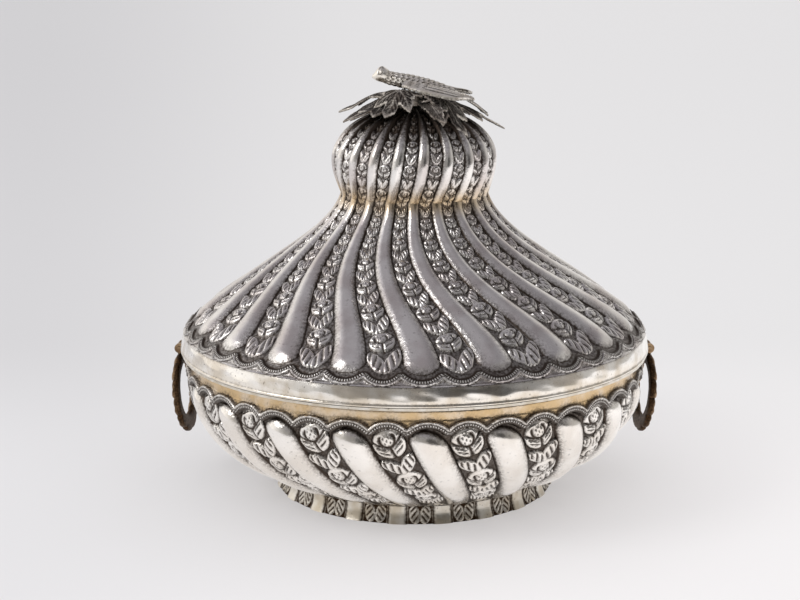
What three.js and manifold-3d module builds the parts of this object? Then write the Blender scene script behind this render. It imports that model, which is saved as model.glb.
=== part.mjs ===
// A round covered box in chased silver: a low bowl on a foot ring, a concave lid with a
// melon knop and a bird on vine leaves as finial, and two hinged ring handles.
// Millimetres, +Z up. The origin is the centre of the foot's standing plane. The front is
// -Y, and the handles stand beside the X axis, set back a little from the front.
import * as THREE from "three";
import { mergeVertices } from "three/addons/utils/BufferGeometryUtils.js";
import Module from "manifold-3d";

const wasm = await Module();
wasm.setup();

// Ornament shared by bowl, foot, lid and knop: twisted gadroons with flat ground between
const gadroonCount = 20;
const gadroonHalfShare = 0.26;
const sheetThickness = 1;
const seatGap = 0.3;

// Bowl
const lidEdgeHeight = 73;
const mouthRadius = 114.6;
const collarHeight = 8.5;
const collarSwell = 0.6;
const shoulderDrop = 2.5;
const shoulderSwell = 3;
const bellyPull = new THREE.Vector2(2.5, -26);
const flankPull = new THREE.Vector2(25.9, 8.2);
const bottomSag = 3.6;
const bowlReliefDepth = 2.8;
const bowlTwist = 9;
const bowlPhase = 3.2;

// Foot ring
const footJointRadius = 70.2;
const footHeight = 8.8;
const footSpread = 2;
const footWall = 2;
const footPanelDepth = 0.5;
const footPanelShare = 0.44;

// Bezel that centres the lid, and the ledge that carries both
const bezelSetback = 0.7;
const bezelThickness = 1;
const bezelClearance = 0.8;
const bezelShortfall = 2;
const ledgeSetback = 0.7;
const ledgeThickness = 1.2;

// Lid
const bandHeight = 9;
const bandLean = 1.5;
const bandThickness = 1.4;
const bandLipHeight = 1.3;
const bandLipDepth = 0.4;
const lidHeight = 79;
const neckRadius = 37.4;
const lidShoulderPull = new THREE.Vector2(-7.6, 16.7);
const lidNeckPull = new THREE.Vector2(5.2, -23.4);
const lidReliefDepth = 2.3;
const lidTwist = 21.2;
const lidPhase = 2.3;

// Knop
const knopSwell = 4.6;
const knopWaistHeight = 17;
const knopDomeHeight = 26.4;
const knopReliefDepth = 2.4;
const knopTwist = 9;

// Finial: stem with its boss, and the nut and washer that hold it inside the knop
const stemRadius = 1.6;
const threadOverrun = 3.6;
const bossRadius = 4;
const bossCap = 1.3;
const washerRadius = 6;
const washerThickness = 1;
const nutRadius = 4.2;
const nutHeight = 3.2;

// Vine leaves, in tiers round the boss
const leafThickness = 0.9;
const leafFirstTier = 1.1;
const leafTierStep = 1.8;
const leafReach = 36.8;
const leafHalfWidth = 6;
const leafRise = 2.4;
const leafFall = 9;
const leafStalkHalf = 1;

// Bird
const birdLength = 44.5;
const birdHalfWidth = 4.6;
const birdHalfHeight = 3.8;
const birdSlope = 14;
const birdForward = 21.3;
const tailLength = 22.5;
const tailRootHalf = 1.8;
const tailHalfWidth = 5;
const tailFall = 6;
const tailFork = 4;
const wingLength = 37;
const wingHalfWidth = 4.6;
const wingThickness = 1;
const wingArch = 1.2;
const wingSpread = 13;
const wingRise = 1.6;

// Handles: a ring on a pin, carried by a lug on a small plate against the bowl's collar
const handleSetback = 6;
const handleLean = 5;
const hingeDrop = 3.7;
const hingeReach = 6.6;
const ringRadius = 19.8;
const ringHoleRadius = 14;
const ringThickness = 2.4;
const ringShoulderGap = 3.2;
const ringFootRise = 3;
const ringLobes = 12;
const ringLobeDepth = 0.8;
const knuckleRadius = 2.6;
const knuckleWidth = 4.6;
const pinRadius = 1.1;
const pinClearance = 0.12;
const pinOverhang = 0.4;
const lugThickness = 2.2;
const lugClearance = 0.3;
const lugPadHeight = 3.6;
const lugPadThickness = 1.2;
const plateHeight = 5.2;
const plateHalfWidth = 10.5;
const plateThickness = 1.3;

const rad = THREE.MathUtils.degToRad;
const lerp = THREE.MathUtils.lerp;
const smoothstep = THREE.MathUtils.smoothstep;
const turn = 2 * Math.PI;
const pitch = 360 / gadroonCount;

// Angle on the object for a place given in degrees from the front, to the right as seen there
const fromFront = (degrees) => rad(degrees - 90);

// A ring is one closed loop of points round the axis, with each point's share of the turn.
const ring = (points, turns) => ({ points, turns });
const pole = (z) => ring([new THREE.Vector3(0, 0, z)], [0]);

// Joins two rings with triangles; either may be a single point or have its own count.
function joinRings(a, b, out) {
  const tie = 1e-9;
  const steps = (r) => (r.points.length > 1 ? r.points.length : 0);
  const share = (r, i) => (i < r.points.length ? r.turns[i] : r.turns[0] + 1);
  const at = (r, i) => r.points[i % r.points.length];
  let i = 0;
  let j = 0;
  while (i < steps(a) || j < steps(b)) {
    const stepA = i < steps(a) && (j >= steps(b) || share(a, i + 1) <= share(b, j + 1) + tie);
    if (stepA) {
      out.push(at(a, i), at(a, i + 1), at(b, j));
      i += 1;
    } else {
      out.push(at(a, i), at(b, j + 1), at(b, j));
      j += 1;
    }
  }
}

// Closed body from a run of rings; joined end to end when it has no poles
function bodyOfRings(rings, closed) {
  const corners = [];
  for (let i = 0; i + 1 < rings.length; i += 1) joinRings(rings[i], rings[i + 1], corners);
  if (closed) joinRings(rings[rings.length - 1], rings[0], corners);
  return new THREE.BufferGeometry().setFromPoints(corners);
}

// Closed slab between two grids of points: front is seen with its rows running away from
// the first one and its columns to the left of that run, back lies behind it
function slab(front, back) {
  const corners = [];
  const quad = (a, b, c, d) => corners.push(a, b, c, a, c, d);
  const rows = front.length - 1;
  const last = front[0].length - 1;
  for (let i = 0; i < rows; i += 1) {
    for (let j = 0; j < last; j += 1) {
      quad(front[i][j], front[i + 1][j], front[i + 1][j + 1], front[i][j + 1]);
      quad(back[i][j], back[i][j + 1], back[i + 1][j + 1], back[i + 1][j]);
    }
    quad(back[i][0], back[i + 1][0], front[i + 1][0], front[i][0]);
    quad(front[i][last], front[i + 1][last], back[i + 1][last], back[i][last]);
  }
  for (let j = 0; j < last; j += 1) {
    quad(front[0][j], front[0][j + 1], back[0][j + 1], back[0][j]);
    quad(front[rows][j + 1], front[rows][j], back[rows][j], back[rows][j + 1]);
  }
  return new THREE.BufferGeometry().setFromPoints(corners);
}

// Cross-section of one gadroon over its repeat: half an ellipse with flat ground beside it
const gadroonColumns = [-1, -0.58, 0, 0.58, 1].map((u) => u * gadroonHalfShare);
const gadroonColumnsInside = [-1, 0, 1].map((u) => u * gadroonHalfShare);
const gadroonCrest = (u) => Math.sqrt(Math.max(0, 1 - (u / gadroonHalfShare) ** 2));

// One ring of a chased shell: station = crest point, outward normal, ground depth and twist
function chasedRing(station, columns, crest, inset) {
  const points = [];
  const turns = [];
  for (let k = 0; k < gadroonCount; k += 1) {
    for (const u of columns) {
      const sunk = station.depth * (1 - crest(u)) + inset;
      const r = station.r - station.nr * sunk;
      const z = station.z - station.nz * sunk;
      const angle = fromFront((k + u) * pitch + station.twist);
      points.push(new THREE.Vector3(r * Math.cos(angle), r * Math.sin(angle), z));
      turns.push((k + u - columns[0]) / gadroonCount);
    }
  }
  return ring(points, turns);
}

// Outer and inner rings of a chased shell of sheet, for the same or different stations
const outerRings = (stations) => stations.map((s) => chasedRing(s, gadroonColumns, gadroonCrest, 0));
const innerRings = (stations) =>
  stations.map((s) => chasedRing(s, gadroonColumnsInside, gadroonCrest, sheetThickness)).reverse();

// Stations along a profile curve in (r, z) that runs up the outside; normals point outwards
function stationsAlong(curve, shares, depthAt, twistAt) {
  return shares.map((s) => {
    const p = curve.getPoint(s);
    const t = curve.getTangent(s);
    return { r: p.x, z: p.y, nr: t.y, nz: -t.x, depth: depthAt(s), twist: twistAt(s) };
  });
}

// An end of a shell, cut square to the axis
const squared = (station) => ({ ...station, nr: 1, nz: 0 });

const plainStation = (r, z, twist) => ({ r, z, nr: 1, nz: 0, depth: 0, twist });

// Profile of (r, z) corners turned about the Z axis; it ends on the axis or closes on itself
function turned(corners, segments) {
  const onAxis = corners[0][0] === 0;
  const loop = onAxis ? corners : [...corners, corners[0]];
  const profile = loop.map(([r, z]) => new THREE.Vector2(r, z));
  return new THREE.LatheGeometry(profile, segments).rotateX(Math.PI / 2);
}

// Turned ring of rectangular section
const hoop = (inner, outer, foot, top, segments) =>
  turned([[inner, foot], [outer, foot], [outer, top], [inner, top]], segments);

// Bowl: collar, chased wall and shallow bottom, open at the mouth. The relief rises from the
// foot joint and dies away at the shoulder, which stands out under the collar.
const ledgeTop = lidEdgeHeight - seatGap;
const mouthHeight = ledgeTop - ledgeThickness - seatGap;
const collarFoot = lidEdgeHeight - collarHeight;
const footJoint = new THREE.Vector2(footJointRadius, footHeight);
const shoulder = new THREE.Vector2(mouthRadius + shoulderSwell, collarFoot - shoulderDrop);
const wallCurve = new THREE.CubicBezierCurve(
  footJoint,
  footJoint.clone().add(flankPull),
  shoulder.clone().add(bellyPull),
  shoulder,
);
const wallDepth = (s) => bowlReliefDepth * smoothstep(s, 0, 0.22) * (1 - smoothstep(s, 0.86, 1));
const wallTwist = (s) => bowlPhase + bowlTwist * (1 - s);

function bowlShell() {
  const bottom = footHeight - bottomSag;
  const underside = new THREE.Vector2(bottomSag, -footJointRadius).normalize();
  const joint = {
    ...plainStation(footJointRadius, footHeight, wallTwist(0)),
    nr: -underside.y * 0.37,
    nz: -0.93,
  };
  const collar = [
    plainStation(mouthRadius + collarSwell, collarFoot, bowlPhase),
    plainStation(mouthRadius, mouthHeight, bowlPhase),
  ];
  const outside = stationsAlong(wallCurve, [0.02, 0.1, 0.22, 0.38, 0.56, 0.74, 0.88, 1], wallDepth, wallTwist);
  const inside = stationsAlong(wallCurve, [0.02, 0.18, 0.42, 0.7, 0.88, 1], wallDepth, wallTwist);
  return bodyOfRings([
    pole(bottom),
    ...outerRings([joint, ...outside, ...collar]),
    ...innerRings([joint, ...inside, ...collar]),
    pole(bottom + sheetThickness),
  ]);
}

// Foot ring: flared wall with plain panels standing proud of sunk ones
function footRing() {
  const edge = footPanelShare / 2;
  const bevel = 0.04;
  const columns = [-edge - bevel, -edge, edge, edge + bevel];
  const crest = (u) => (Math.abs(u) <= edge ? 1 : 0);
  const twist = wallTwist(0);
  const top = plainStation(footJointRadius, footHeight - seatGap, twist);
  const waist = plainStation(footJointRadius + footSpread * 0.3, footHeight * 0.45, twist);
  const toe = plainStation(footJointRadius + footSpread, 0, twist);
  const outside = [toe, waist, top].map((s) => chasedRing({ ...s, depth: footPanelDepth }, columns, crest, 0));
  const inside = [top, toe].map((s) => chasedRing(s, [-edge, edge], () => 1, footWall));
  return bodyOfRings([...outside, ...inside], true);
}

// Bezel, lid band and ledge take their radii outwards from the mouth
const hoopSegments = 60;
const bezelInner = mouthRadius + bezelSetback;
const bezelOuter = bezelInner + bezelThickness;
const bandTopRadius = bezelOuter + bezelClearance + bandThickness;
const lidEdgeRadius = bandTopRadius + bandLean;
const lidBandTop = lidEdgeHeight + bandHeight;

function rimLedge() {
  const hole = mouthRadius - sheetThickness;
  return hoop(hole, lidEdgeRadius - ledgeSetback, ledgeTop - ledgeThickness, ledgeTop, hoopSegments);
}

const bezel = () => hoop(bezelInner, bezelOuter, ledgeTop + seatGap, lidBandTop - bezelShortfall, hoopSegments);

// Plain band of the lid: leans in towards its top and has a small lip at its lower edge
function rimBand() {
  const lipTop = lidEdgeHeight + bandLipHeight;
  return turned(
    [
      [lidEdgeRadius - bandThickness, lidEdgeHeight],
      [lidEdgeRadius, lidEdgeHeight],
      [lidEdgeRadius, lipTop],
      [lidEdgeRadius - bandLipDepth, lipTop + bandLipDepth],
      [bandTopRadius, lidBandTop],
      [bandTopRadius - bandThickness, lidBandTop],
    ],
    hoopSegments,
  );
}

// Lid slope: convex shoulder at the band, then a concave sweep up to the neck. The relief
// rises behind a plain margin and thins towards the neck.
const lidMargin = 0.05;
const neckHeight = lidEdgeHeight + lidHeight;
const lidFoot = new THREE.Vector2(bandTopRadius, lidBandTop + seatGap);
const lidNeck = new THREE.Vector2(neckRadius, neckHeight - seatGap);
const lidCurve = new THREE.CubicBezierCurve(
  lidFoot,
  lidFoot.clone().add(lidShoulderPull),
  lidNeck.clone().add(lidNeckPull),
  lidNeck,
);
const lidDepth = (s) => lidReliefDepth * lerp(1, 0.62, s) * smoothstep(s, lidMargin, 0.16);
const lidTwistAt = (s) => lidPhase - lidTwist * smoothstep(s, 0.12, 0.92);

function lidCone() {
  const stations = (shares) => {
    const run = stationsAlong(lidCurve, shares, lidDepth, lidTwistAt);
    return [squared(run[0]), ...run.slice(1, -1), squared(run[run.length - 1])];
  };
  const outside = stations([0, lidMargin, 0.12, 0.2, 0.33, 0.48, 0.65, 0.83, 1]);
  const inside = stations([0, 0.06, 0.16, 0.34, 0.54, 0.76, 1]);
  return bodyOfRings([...outerRings(outside), ...innerRings(inside)], true);
}

// Knop: flutes swell from the neck to the widest ring, then close over an elliptic dome and
// fade out before the stem's hole
const knopRadius = neckRadius + knopSwell;
const knopWidest = neckHeight + knopWaistHeight;
const knopTop = knopWidest + knopDomeHeight;
const stemHole = stemRadius + seatGap;
const fluteEnd = 0.93;

function knopStation(s) {
  const waistShare = knopWaistHeight / (knopWaistHeight + knopDomeHeight);
  const relief = {
    depth: knopReliefDepth * (1 - smoothstep(s, 0.72, fluteEnd)),
    twist: lidTwistAt(1) + knopTwist * smoothstep(s, 0, 0.8),
  };
  if (s <= waistShare) {
    const q = (s / waistShare) * (Math.PI / 2);
    const normal = new THREE.Vector2(knopWaistHeight, -knopSwell * Math.cos(q) * (Math.PI / 2)).normalize();
    const r = neckRadius + knopSwell * Math.sin(q);
    const z = lerp(neckHeight, knopWidest, s / waistShare);
    return { r, z, nr: normal.x, nz: normal.y, ...relief };
  }
  const q = lerp(Math.PI / 2, Math.asin(stemHole / knopRadius), (s - waistShare) / (1 - waistShare));
  const normal = new THREE.Vector2(Math.sin(q) / knopRadius, Math.cos(q) / knopDomeHeight).normalize();
  const r = knopRadius * Math.sin(q);
  const z = knopWidest + knopDomeHeight * Math.cos(q);
  return { r, z, nr: normal.x, nz: normal.y, ...relief };
}

// The inner wall keeps the hole's radius, so that the stem passes
function knopShell() {
  const neck = squared(knopStation(0));
  const mouth = { ...knopStation(1), nr: 0, nz: 1 };
  const outside = [0.15, 0.3, 0.45, 0.6, 0.72, 0.83, fluteEnd].map(knopStation);
  const inside = [0.22, 0.45, 0.68, fluteEnd].map(knopStation);
  return bodyOfRings([...outerRings([neck, ...outside, mouth]), ...innerRings([neck, ...inside, mouth])], true);
}

// Washer and nut inside the dome, on the stem's thread
const domeInside = (r) => knopWidest + knopDomeHeight * Math.sqrt(1 - (r / knopRadius) ** 2) - sheetThickness;
const washerTop = domeInside(washerRadius) - seatGap;
const washerFoot = washerTop - washerThickness;
const nutTop = washerFoot - seatGap;
const nutFoot = nutTop - nutHeight;
const washer = () => hoop(stemHole, washerRadius, washerFoot, washerTop, 24);
const nut = () => hoop(stemHole, nutRadius, nutFoot, nutTop, 6);

// Finial stem: a threaded rod below and the boss that carries leaves and bird above
const bossFoot = knopTop + seatGap;
const leafTier = (tier) => bossFoot + leafFirstTier + tier * leafTierStep;
const bossTop = leafTier(2) + bossCap;

function finialStem() {
  const end = nutFoot - threadOverrun;
  const rod = [[0, end], [stemRadius, end], [stemRadius, bossFoot]];
  const boss = [[bossRadius, bossFoot], [bossRadius, bossTop], [0, bossTop]];
  return turned([...rod, ...boss], 16);
}

// Thin blade along +X, bent by bend(x, y): outline(t) gives half width and sweep at share t
function blade({ start, length, steps, outline, bend, thickness }) {
  const upper = Array.from({ length: steps + 1 }, (_, i) => {
    const t = i / steps;
    const { half, sweep } = outline(t);
    return [-1, 0, 1].map((v) => {
      const x = start + length * t + sweep * Math.abs(v);
      const y = v * half;
      return new THREE.Vector3(x, y, bend(x, y));
    });
  });
  const sink = new THREE.Vector3(0, 0, -thickness);
  return slab(upper, upper.map((row) => row.map((p) => p.clone().add(sink))));
}

// Leaves of the finial: bearing in degrees from +X, tier on the boss, and reach, half width,
// rise near the boss and fall at the point as shares of the common sizes
const leaves = [
  { bearing: 171, tier: 2, reach: 1.03, half: 0.9, rise: 1.25, fall: 0.93 },
  { bearing: 190, tier: 1, reach: 0.96, half: 0.83, rise: 1, fall: 1.07 },
  { bearing: 237, tier: 2, reach: 0.71, half: 1.43, rise: 1.17, fall: 0.51 },
  { bearing: 213, tier: 0, reach: 1, half: 0.93, rise: 0.42, fall: 0.62 },
  { bearing: 305, tier: 2, reach: 0.61, half: 0.83, rise: 1.25, fall: 0.29 },
  { bearing: 289, tier: 0, reach: 0.95, half: 0.7, rise: 0.42, fall: 0.49 },
  { bearing: 323, tier: 1, reach: 0.95, half: 1.1, rise: 0.75, fall: 1.28 },
  { bearing: 356, tier: 0, reach: 1.2, half: 0.93, rise: 1, fall: 1.28 },
  { bearing: 38, tier: 1, reach: 0.97, half: 1.13, rise: 0.92, fall: 1 },
  { bearing: 82, tier: 0, reach: 0.95, half: 1.27, rise: 0.83, fall: 0.89 },
  { bearing: 130, tier: 0, reach: 1, half: 1.07, rise: 0.92, fall: 0.94 },
];

// Vine leaf: a stalk, then lobes that point forwards and shrink towards the tip. It arches up
// near the boss, falls with the square of the reach and cups down at its edges.
function vineLeaf({ reach, half, rise, fall }) {
  const start = bossRadius + seatGap;
  const length = reach * leafReach - start;
  const halfWidth = half * leafHalfWidth;
  const stalkShare = 0.16;
  const lobes = 2.5;
  const outline = (t) => {
    if (t <= stalkShare) return { half: leafStalkHalf, sweep: 0 };
    const q = (t - stalkShare) / (1 - stalkShare);
    const body = Math.sin(Math.PI * q ** 0.62) ** 0.8;
    const lobe = 0.82 + 0.18 * Math.cos(turn * lobes * q);
    return { half: Math.max(leafStalkHalf / 2, halfWidth * body * lobe), sweep: 0 };
  };
  const bend = (x, y) => {
    const t = (x - start) / length;
    const arch = 0.8 * rise * leafRise * Math.sin(Math.PI * Math.min(1, t * 1.25));
    const cup = (0.12 * y ** 2) / leafHalfWidth;
    return arch - fall * leafFall * t ** 2 - cup;
  };
  return blade({ start, length, steps: 9, outline, bend, thickness: leafThickness });
}

// Body along +X through oval sections: each row is share of length, half width, half height
// as shares of the largest, and height of the centre in half heights
function loft(sections, length, halfWidth, halfHeight, sides) {
  const rings = sections.map(([share, wide, high, lift]) => {
    const points = [];
    const turns = [];
    for (let i = 0; i < sides; i += 1) {
      const angle = (turn * i) / sides;
      const y = halfWidth * wide * Math.cos(angle);
      const z = halfHeight * (high * Math.sin(angle) + lift);
      points.push(new THREE.Vector3(length * share, y, z));
      turns.push(i / sides);
    }
    return ring(points, turns);
  });
  const tip = ([share, , , lift]) => ring([new THREE.Vector3(length * share, 0, halfHeight * lift)], [0]);
  return bodyOfRings([tip(sections[0]), ...rings.slice(1, -1), tip(sections[sections.length - 1])]);
}

// Bird from beak to tail root: head, nape, back and rump
const birdSections = [
  [0, 0, 0, -0.4],
  [0.03, 0.2, 0.2, -0.3],
  [0.06, 0.5, 0.5, -0.05],
  [0.1, 0.62, 0.62, -0.05],
  [0.15, 0.58, 0.62, -0.15],
  [0.2, 0.64, 0.7, -0.28],
  [0.3, 0.86, 0.86, -0.1],
  [0.44, 1, 0.96, -0.04],
  [0.62, 1, 0.94, 0],
  [0.8, 0.76, 0.68, 0.08],
  [0.92, 0.46, 0.36, 0.12],
  [1, 0, 0, 0.14],
];

function solidOf(geometry) {
  const bare = geometry.clone();
  for (const extra of ["normal", "uv"]) bare.deleteAttribute(extra);
  const merged = mergeVertices(bare, 1e-4);
  const mesh = new wasm.Mesh({
    numProp: 3,
    vertProperties: merged.attributes.position.array,
    triVerts: new Uint32Array(merged.index.array),
  });
  return new wasm.Manifold(mesh);
}

function geometryOf(solid) {
  const mesh = solid.getMesh();
  const geometry = new THREE.BufferGeometry();
  geometry.setAttribute("position", new THREE.BufferAttribute(mesh.vertProperties, 3));
  geometry.setIndex(new THREE.BufferAttribute(mesh.triVerts, 1));
  return geometry;
}

// Body and tail as one casting; the tail is a fan that widens, forks and falls
function birdCasting() {
  const body = loft(birdSections, birdLength, birdHalfWidth, birdHalfHeight, 12);
  const root = birdLength * 0.88;
  const tail = blade({
    start: root,
    length: tailLength,
    steps: 6,
    outline: (t) => ({ half: lerp(tailRootHalf, tailHalfWidth, t), sweep: -tailFork * t ** 2 }),
    bend: (x, y) => {
      const cup = (0.2 * y ** 2) / tailHalfWidth;
      return birdHalfHeight * 0.34 - tailFall * ((x - root) / tailLength) ** 1.5 - cup;
    },
    thickness: wingThickness,
  });
  return geometryOf(solidOf(body).add(solidOf(tail)));
}

// Wing laid back along the body, its feathers notched along the trailing edge
function birdWing() {
  const feathers = 4.5;
  const outline = (t) => {
    const swell = 0.5 + 0.5 * Math.sin(Math.PI * (0.15 + 0.8 * t));
    const notch = 0.9 + 0.1 * Math.cos(turn * feathers * t);
    return { half: wingHalfWidth * swell * notch, sweep: -2 * wingThickness * t };
  };
  const bend = (x, y) => wingArch * Math.sin((Math.PI * x) / wingLength) - (0.28 * y ** 2) / wingHalfWidth;
  return blade({ start: 0, length: wingLength, steps: 9, outline, bend, thickness: wingThickness });
}

// Round bar along Y, centred on the origin
const barAlongY = (radius, width, sides) => new THREE.CylinderGeometry(radius, radius, width, sides);

// Ring handle hanging from the origin: a lobed ring, fuller at its foot, in the plane across
// the hinge, with a neck and a knuckle that is bored for the pin
const ringDrop = ringRadius + ringShoulderGap;
const bore = (width) => solidOf(barAlongY(pinRadius + pinClearance, width, 16));

function dropHandle() {
  const loop = (steps, radius, way) =>
    Array.from({ length: steps }, (_, i) => {
      const angle = (way * turn * i) / steps;
      return new THREE.Vector2(radius(angle) * Math.sin(angle), radius(angle) * Math.cos(angle));
    });
  const outline = (angle) => {
    const lobe = ringLobeDepth * (0.5 + 0.5 * Math.cos(ringLobes * angle));
    const foot = ringFootRise * (0.5 - 0.5 * Math.cos(angle)) ** 4;
    return ringRadius - lobe + foot;
  };
  const shape = new THREE.Shape(loop(ringLobes * 4, outline, -1));
  shape.holes.push(new THREE.Path(loop(24, () => ringHoleRadius, 1)));
  const flat = new THREE.ExtrudeGeometry(shape, { depth: ringThickness, bevelEnabled: false });
  const plate = solidOf(flat.rotateX(Math.PI / 2).rotateZ(Math.PI / 2).translate(0, 0, -ringDrop));
  const neckLength = ringShoulderGap + ringLobeDepth * 2;
  const neck = new THREE.BoxGeometry(ringThickness, knuckleWidth, neckLength);
  const knuckle = barAlongY(knuckleRadius, knuckleWidth, 16);
  return geometryOf(
    plate
      .add(solidOf(neck.translate(ringThickness / 2, 0, -neckLength / 2)))
      .add(solidOf(knuckle))
      .subtract(bore(knuckleWidth * 2)),
  );
}

// Small lobed plate that lies against the collar under the ledge and follows its curve
const plateTop = mouthHeight;
const plateBack = mouthRadius + collarSwell + seatGap;
const plateFace = plateBack + plateThickness;

function handlePlate() {
  const steps = 8;
  const across = [-1, -0.5, 0, 0.5, 1];
  const back = Array.from({ length: steps + 1 }, (_, i) => {
    const t = i / steps;
    const lobes = 0.88 + 0.12 * Math.cos(2 * turn * t);
    const half = plateHalfWidth * Math.sin(Math.PI * lerp(0.3, 0.92, t)) * lobes;
    return across.map((v) => {
      const y = v * half;
      return new THREE.Vector3(Math.sqrt(plateBack ** 2 - y ** 2), y, plateTop - plateHeight * t);
    });
  });
  const outwards = new THREE.Vector3(plateThickness, 0, 0);
  return slab(back.map((row) => row.map((p) => p.clone().add(outwards))), back);
}

// Lug: a pad on the plate behind the hinge, with two arms that carry the pin
const handleAxisRadius = plateFace + hingeReach;
const handleAxisHeight = plateTop - hingeDrop;
const armInner = knuckleWidth / 2 + lugClearance;
const armOuter = armInner + lugThickness;

function hingeLug() {
  const padTop = handleAxisHeight + knuckleRadius / 2;
  const padBack = plateFace + seatGap;
  const pad = new THREE.BoxGeometry(lugPadThickness, 2 * armOuter, lugPadHeight);
  const padSolid = solidOf(pad.translate(padBack + lugPadThickness / 2, 0, padTop - lugPadHeight / 2));
  const arm = new THREE.Shape();
  arm.moveTo(padBack, handleAxisHeight - knuckleRadius);
  arm.absarc(handleAxisRadius, handleAxisHeight, knuckleRadius, -Math.PI / 2, Math.PI * 0.66, false);
  arm.lineTo(padBack, padTop);
  const side = (y) => {
    const geometry = new THREE.ExtrudeGeometry(arm, { depth: lugThickness, bevelEnabled: false, curveSegments: 8 });
    return solidOf(geometry.rotateX(Math.PI / 2).translate(0, y, 0));
  };
  const pinHole = bore(4 * armOuter).translate(handleAxisRadius, 0, handleAxisHeight);
  return geometryOf(padSolid.add(side(-armInner)).add(side(armOuter)).subtract(pinHole));
}

const hingePin = () => barAlongY(pinRadius, 2 * (armOuter + pinOverhang), 16);

// Finishes as the eye meets them
const finish = (color, roughness) => new THREE.MeshStandardMaterial({ color, roughness, metalness: 1 });
const chased = finish(0xb9b4ab, 0.32);
const polished = finish(0xd6d3cc, 0.2);
const tarnished = finish(0xb3a585, 0.42);
const oxidised = finish(0x6f675c, 0.5);

const box = new THREE.Group();

function add(name, geometry, material, parent = box) {
  const mesh = new THREE.Mesh(geometry, material.clone());
  mesh.name = name;
  parent.add(mesh);
  return mesh;
}

add("bowl_shell", bowlShell(), chased);
add("foot_ring", footRing(), tarnished);
add("bowl_rim_ledge", rimLedge(), tarnished);
add("bowl_bezel", bezel(), tarnished);
add("lid_rim_band", rimBand(), polished);
add("lid_cone", lidCone(), chased);
add("lid_knop", knopShell(), chased);
add("finial_stem", finialStem(), oxidised);
add("finial_washer", washer(), tarnished);
add("finial_nut", nut(), tarnished);

leaves.forEach((leaf, i) => {
  const mesh = add(`vine_leaf_${i + 1}`, vineLeaf(leaf), oxidised);
  mesh.position.z = leafTier(leaf.tier);
  mesh.rotation.z = rad(leaf.bearing);
});

// The bird slopes down towards its tail and sits on the boss's rear edge
const slope = rad(birdSlope);
const seatBehindBeak = birdForward + bossRadius + seatGap;
const birdLift = birdHalfHeight * Math.cos(slope) + seatBehindBeak * Math.sin(slope);
const bird = new THREE.Group();
bird.position.set(-birdForward * Math.cos(slope), 0, bossTop + seatGap + birdLift);
bird.rotation.y = slope;
box.add(bird);
add("bird_body", birdCasting(), oxidised, bird);
for (const [name, side] of [["bird_wing_left", -1], ["bird_wing_right", 1]]) {
  const wing = add(name, birdWing(), oxidised, bird);
  wing.position.set(birdLength * 0.36, side * (birdHalfWidth + wingHalfWidth * 0.71), wingRise);
  wing.rotation.z = rad(side * wingSpread);
}

for (const [name, bearing] of [["right", handleSetback], ["left", 180 - handleSetback]]) {
  const side = new THREE.Group();
  side.rotation.z = rad(bearing);
  box.add(side);
  add(`handle_plate_${name}`, handlePlate(), oxidised, side);
  add(`handle_lug_${name}`, hingeLug(), oxidised, side);
  const pin = add(`hinge_pin_${name}`, hingePin(), oxidised, side);
  pin.position.set(handleAxisRadius, 0, handleAxisHeight);
  const handle = add(`drop_handle_${name}`, dropHandle(), oxidised, side);
  handle.position.copy(pin.position);
  handle.rotation.y = rad(handleLean);
}

export default box;
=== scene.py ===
"""Round covered box in raised and chased silver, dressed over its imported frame.

Every shell is one relief surface: a profile curve turned round the axis, with a height in
millimetres added along its normal at each (distance along the profile, share of a repeat).
Twenty twisted gadroons alternate with bands of chased medallions and leaf pairs, and both
end in scalloped borders of punched beads.
"""

import logging
import math
from collections.abc import Callable
from dataclasses import dataclass, field, replace
from enum import Enum
from functools import partial

import bpy
import numpy as np
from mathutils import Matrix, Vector


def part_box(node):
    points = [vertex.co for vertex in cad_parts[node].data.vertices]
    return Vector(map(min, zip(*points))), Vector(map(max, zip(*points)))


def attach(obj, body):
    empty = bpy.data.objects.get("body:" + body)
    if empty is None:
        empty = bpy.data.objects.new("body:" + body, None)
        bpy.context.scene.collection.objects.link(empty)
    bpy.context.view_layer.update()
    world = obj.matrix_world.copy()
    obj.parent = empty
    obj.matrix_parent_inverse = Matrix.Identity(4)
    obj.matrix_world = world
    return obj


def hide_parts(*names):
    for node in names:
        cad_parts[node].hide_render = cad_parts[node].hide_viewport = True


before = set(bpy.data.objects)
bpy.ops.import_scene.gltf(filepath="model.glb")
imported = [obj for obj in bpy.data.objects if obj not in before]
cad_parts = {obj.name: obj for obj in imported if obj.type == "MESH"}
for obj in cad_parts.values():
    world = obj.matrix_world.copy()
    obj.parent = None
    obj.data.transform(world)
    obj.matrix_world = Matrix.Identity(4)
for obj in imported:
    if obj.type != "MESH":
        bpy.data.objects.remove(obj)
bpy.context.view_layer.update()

log = logging.getLogger("silver_box")
MM = 0.001
TURN = 2.0 * math.pi
GADROONS = 20
PITCH_DEG = 360.0 / GADROONS
# Half width of a gadroon as a share of a repeat, and oxide on the matted ground
GADROON_SHARE = 0.26
GROUND = 0.82
# Distance across a row of beads, in half widths, at which no bead is left
NO_BEAD = 9.0
# Rows and columns of a shell's outer wall to each one of its inner wall
COARSE = 4


class Body(Enum):
    """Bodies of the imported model."""

    BOWL = "bowl"
    LID = "lid"
    HANDLE_LEFT = "handle_left"
    HANDLE_RIGHT = "handle_right"


class Slot(Enum):
    """Material slots of the record."""

    CHASED = "chased_silver"
    TARNISHED = "tarnished_silver"
    POLISHED = "polished_silver"
    CAST = "cast_silver"
    HANDLE = "handle_silver"


# Plain maths


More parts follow.
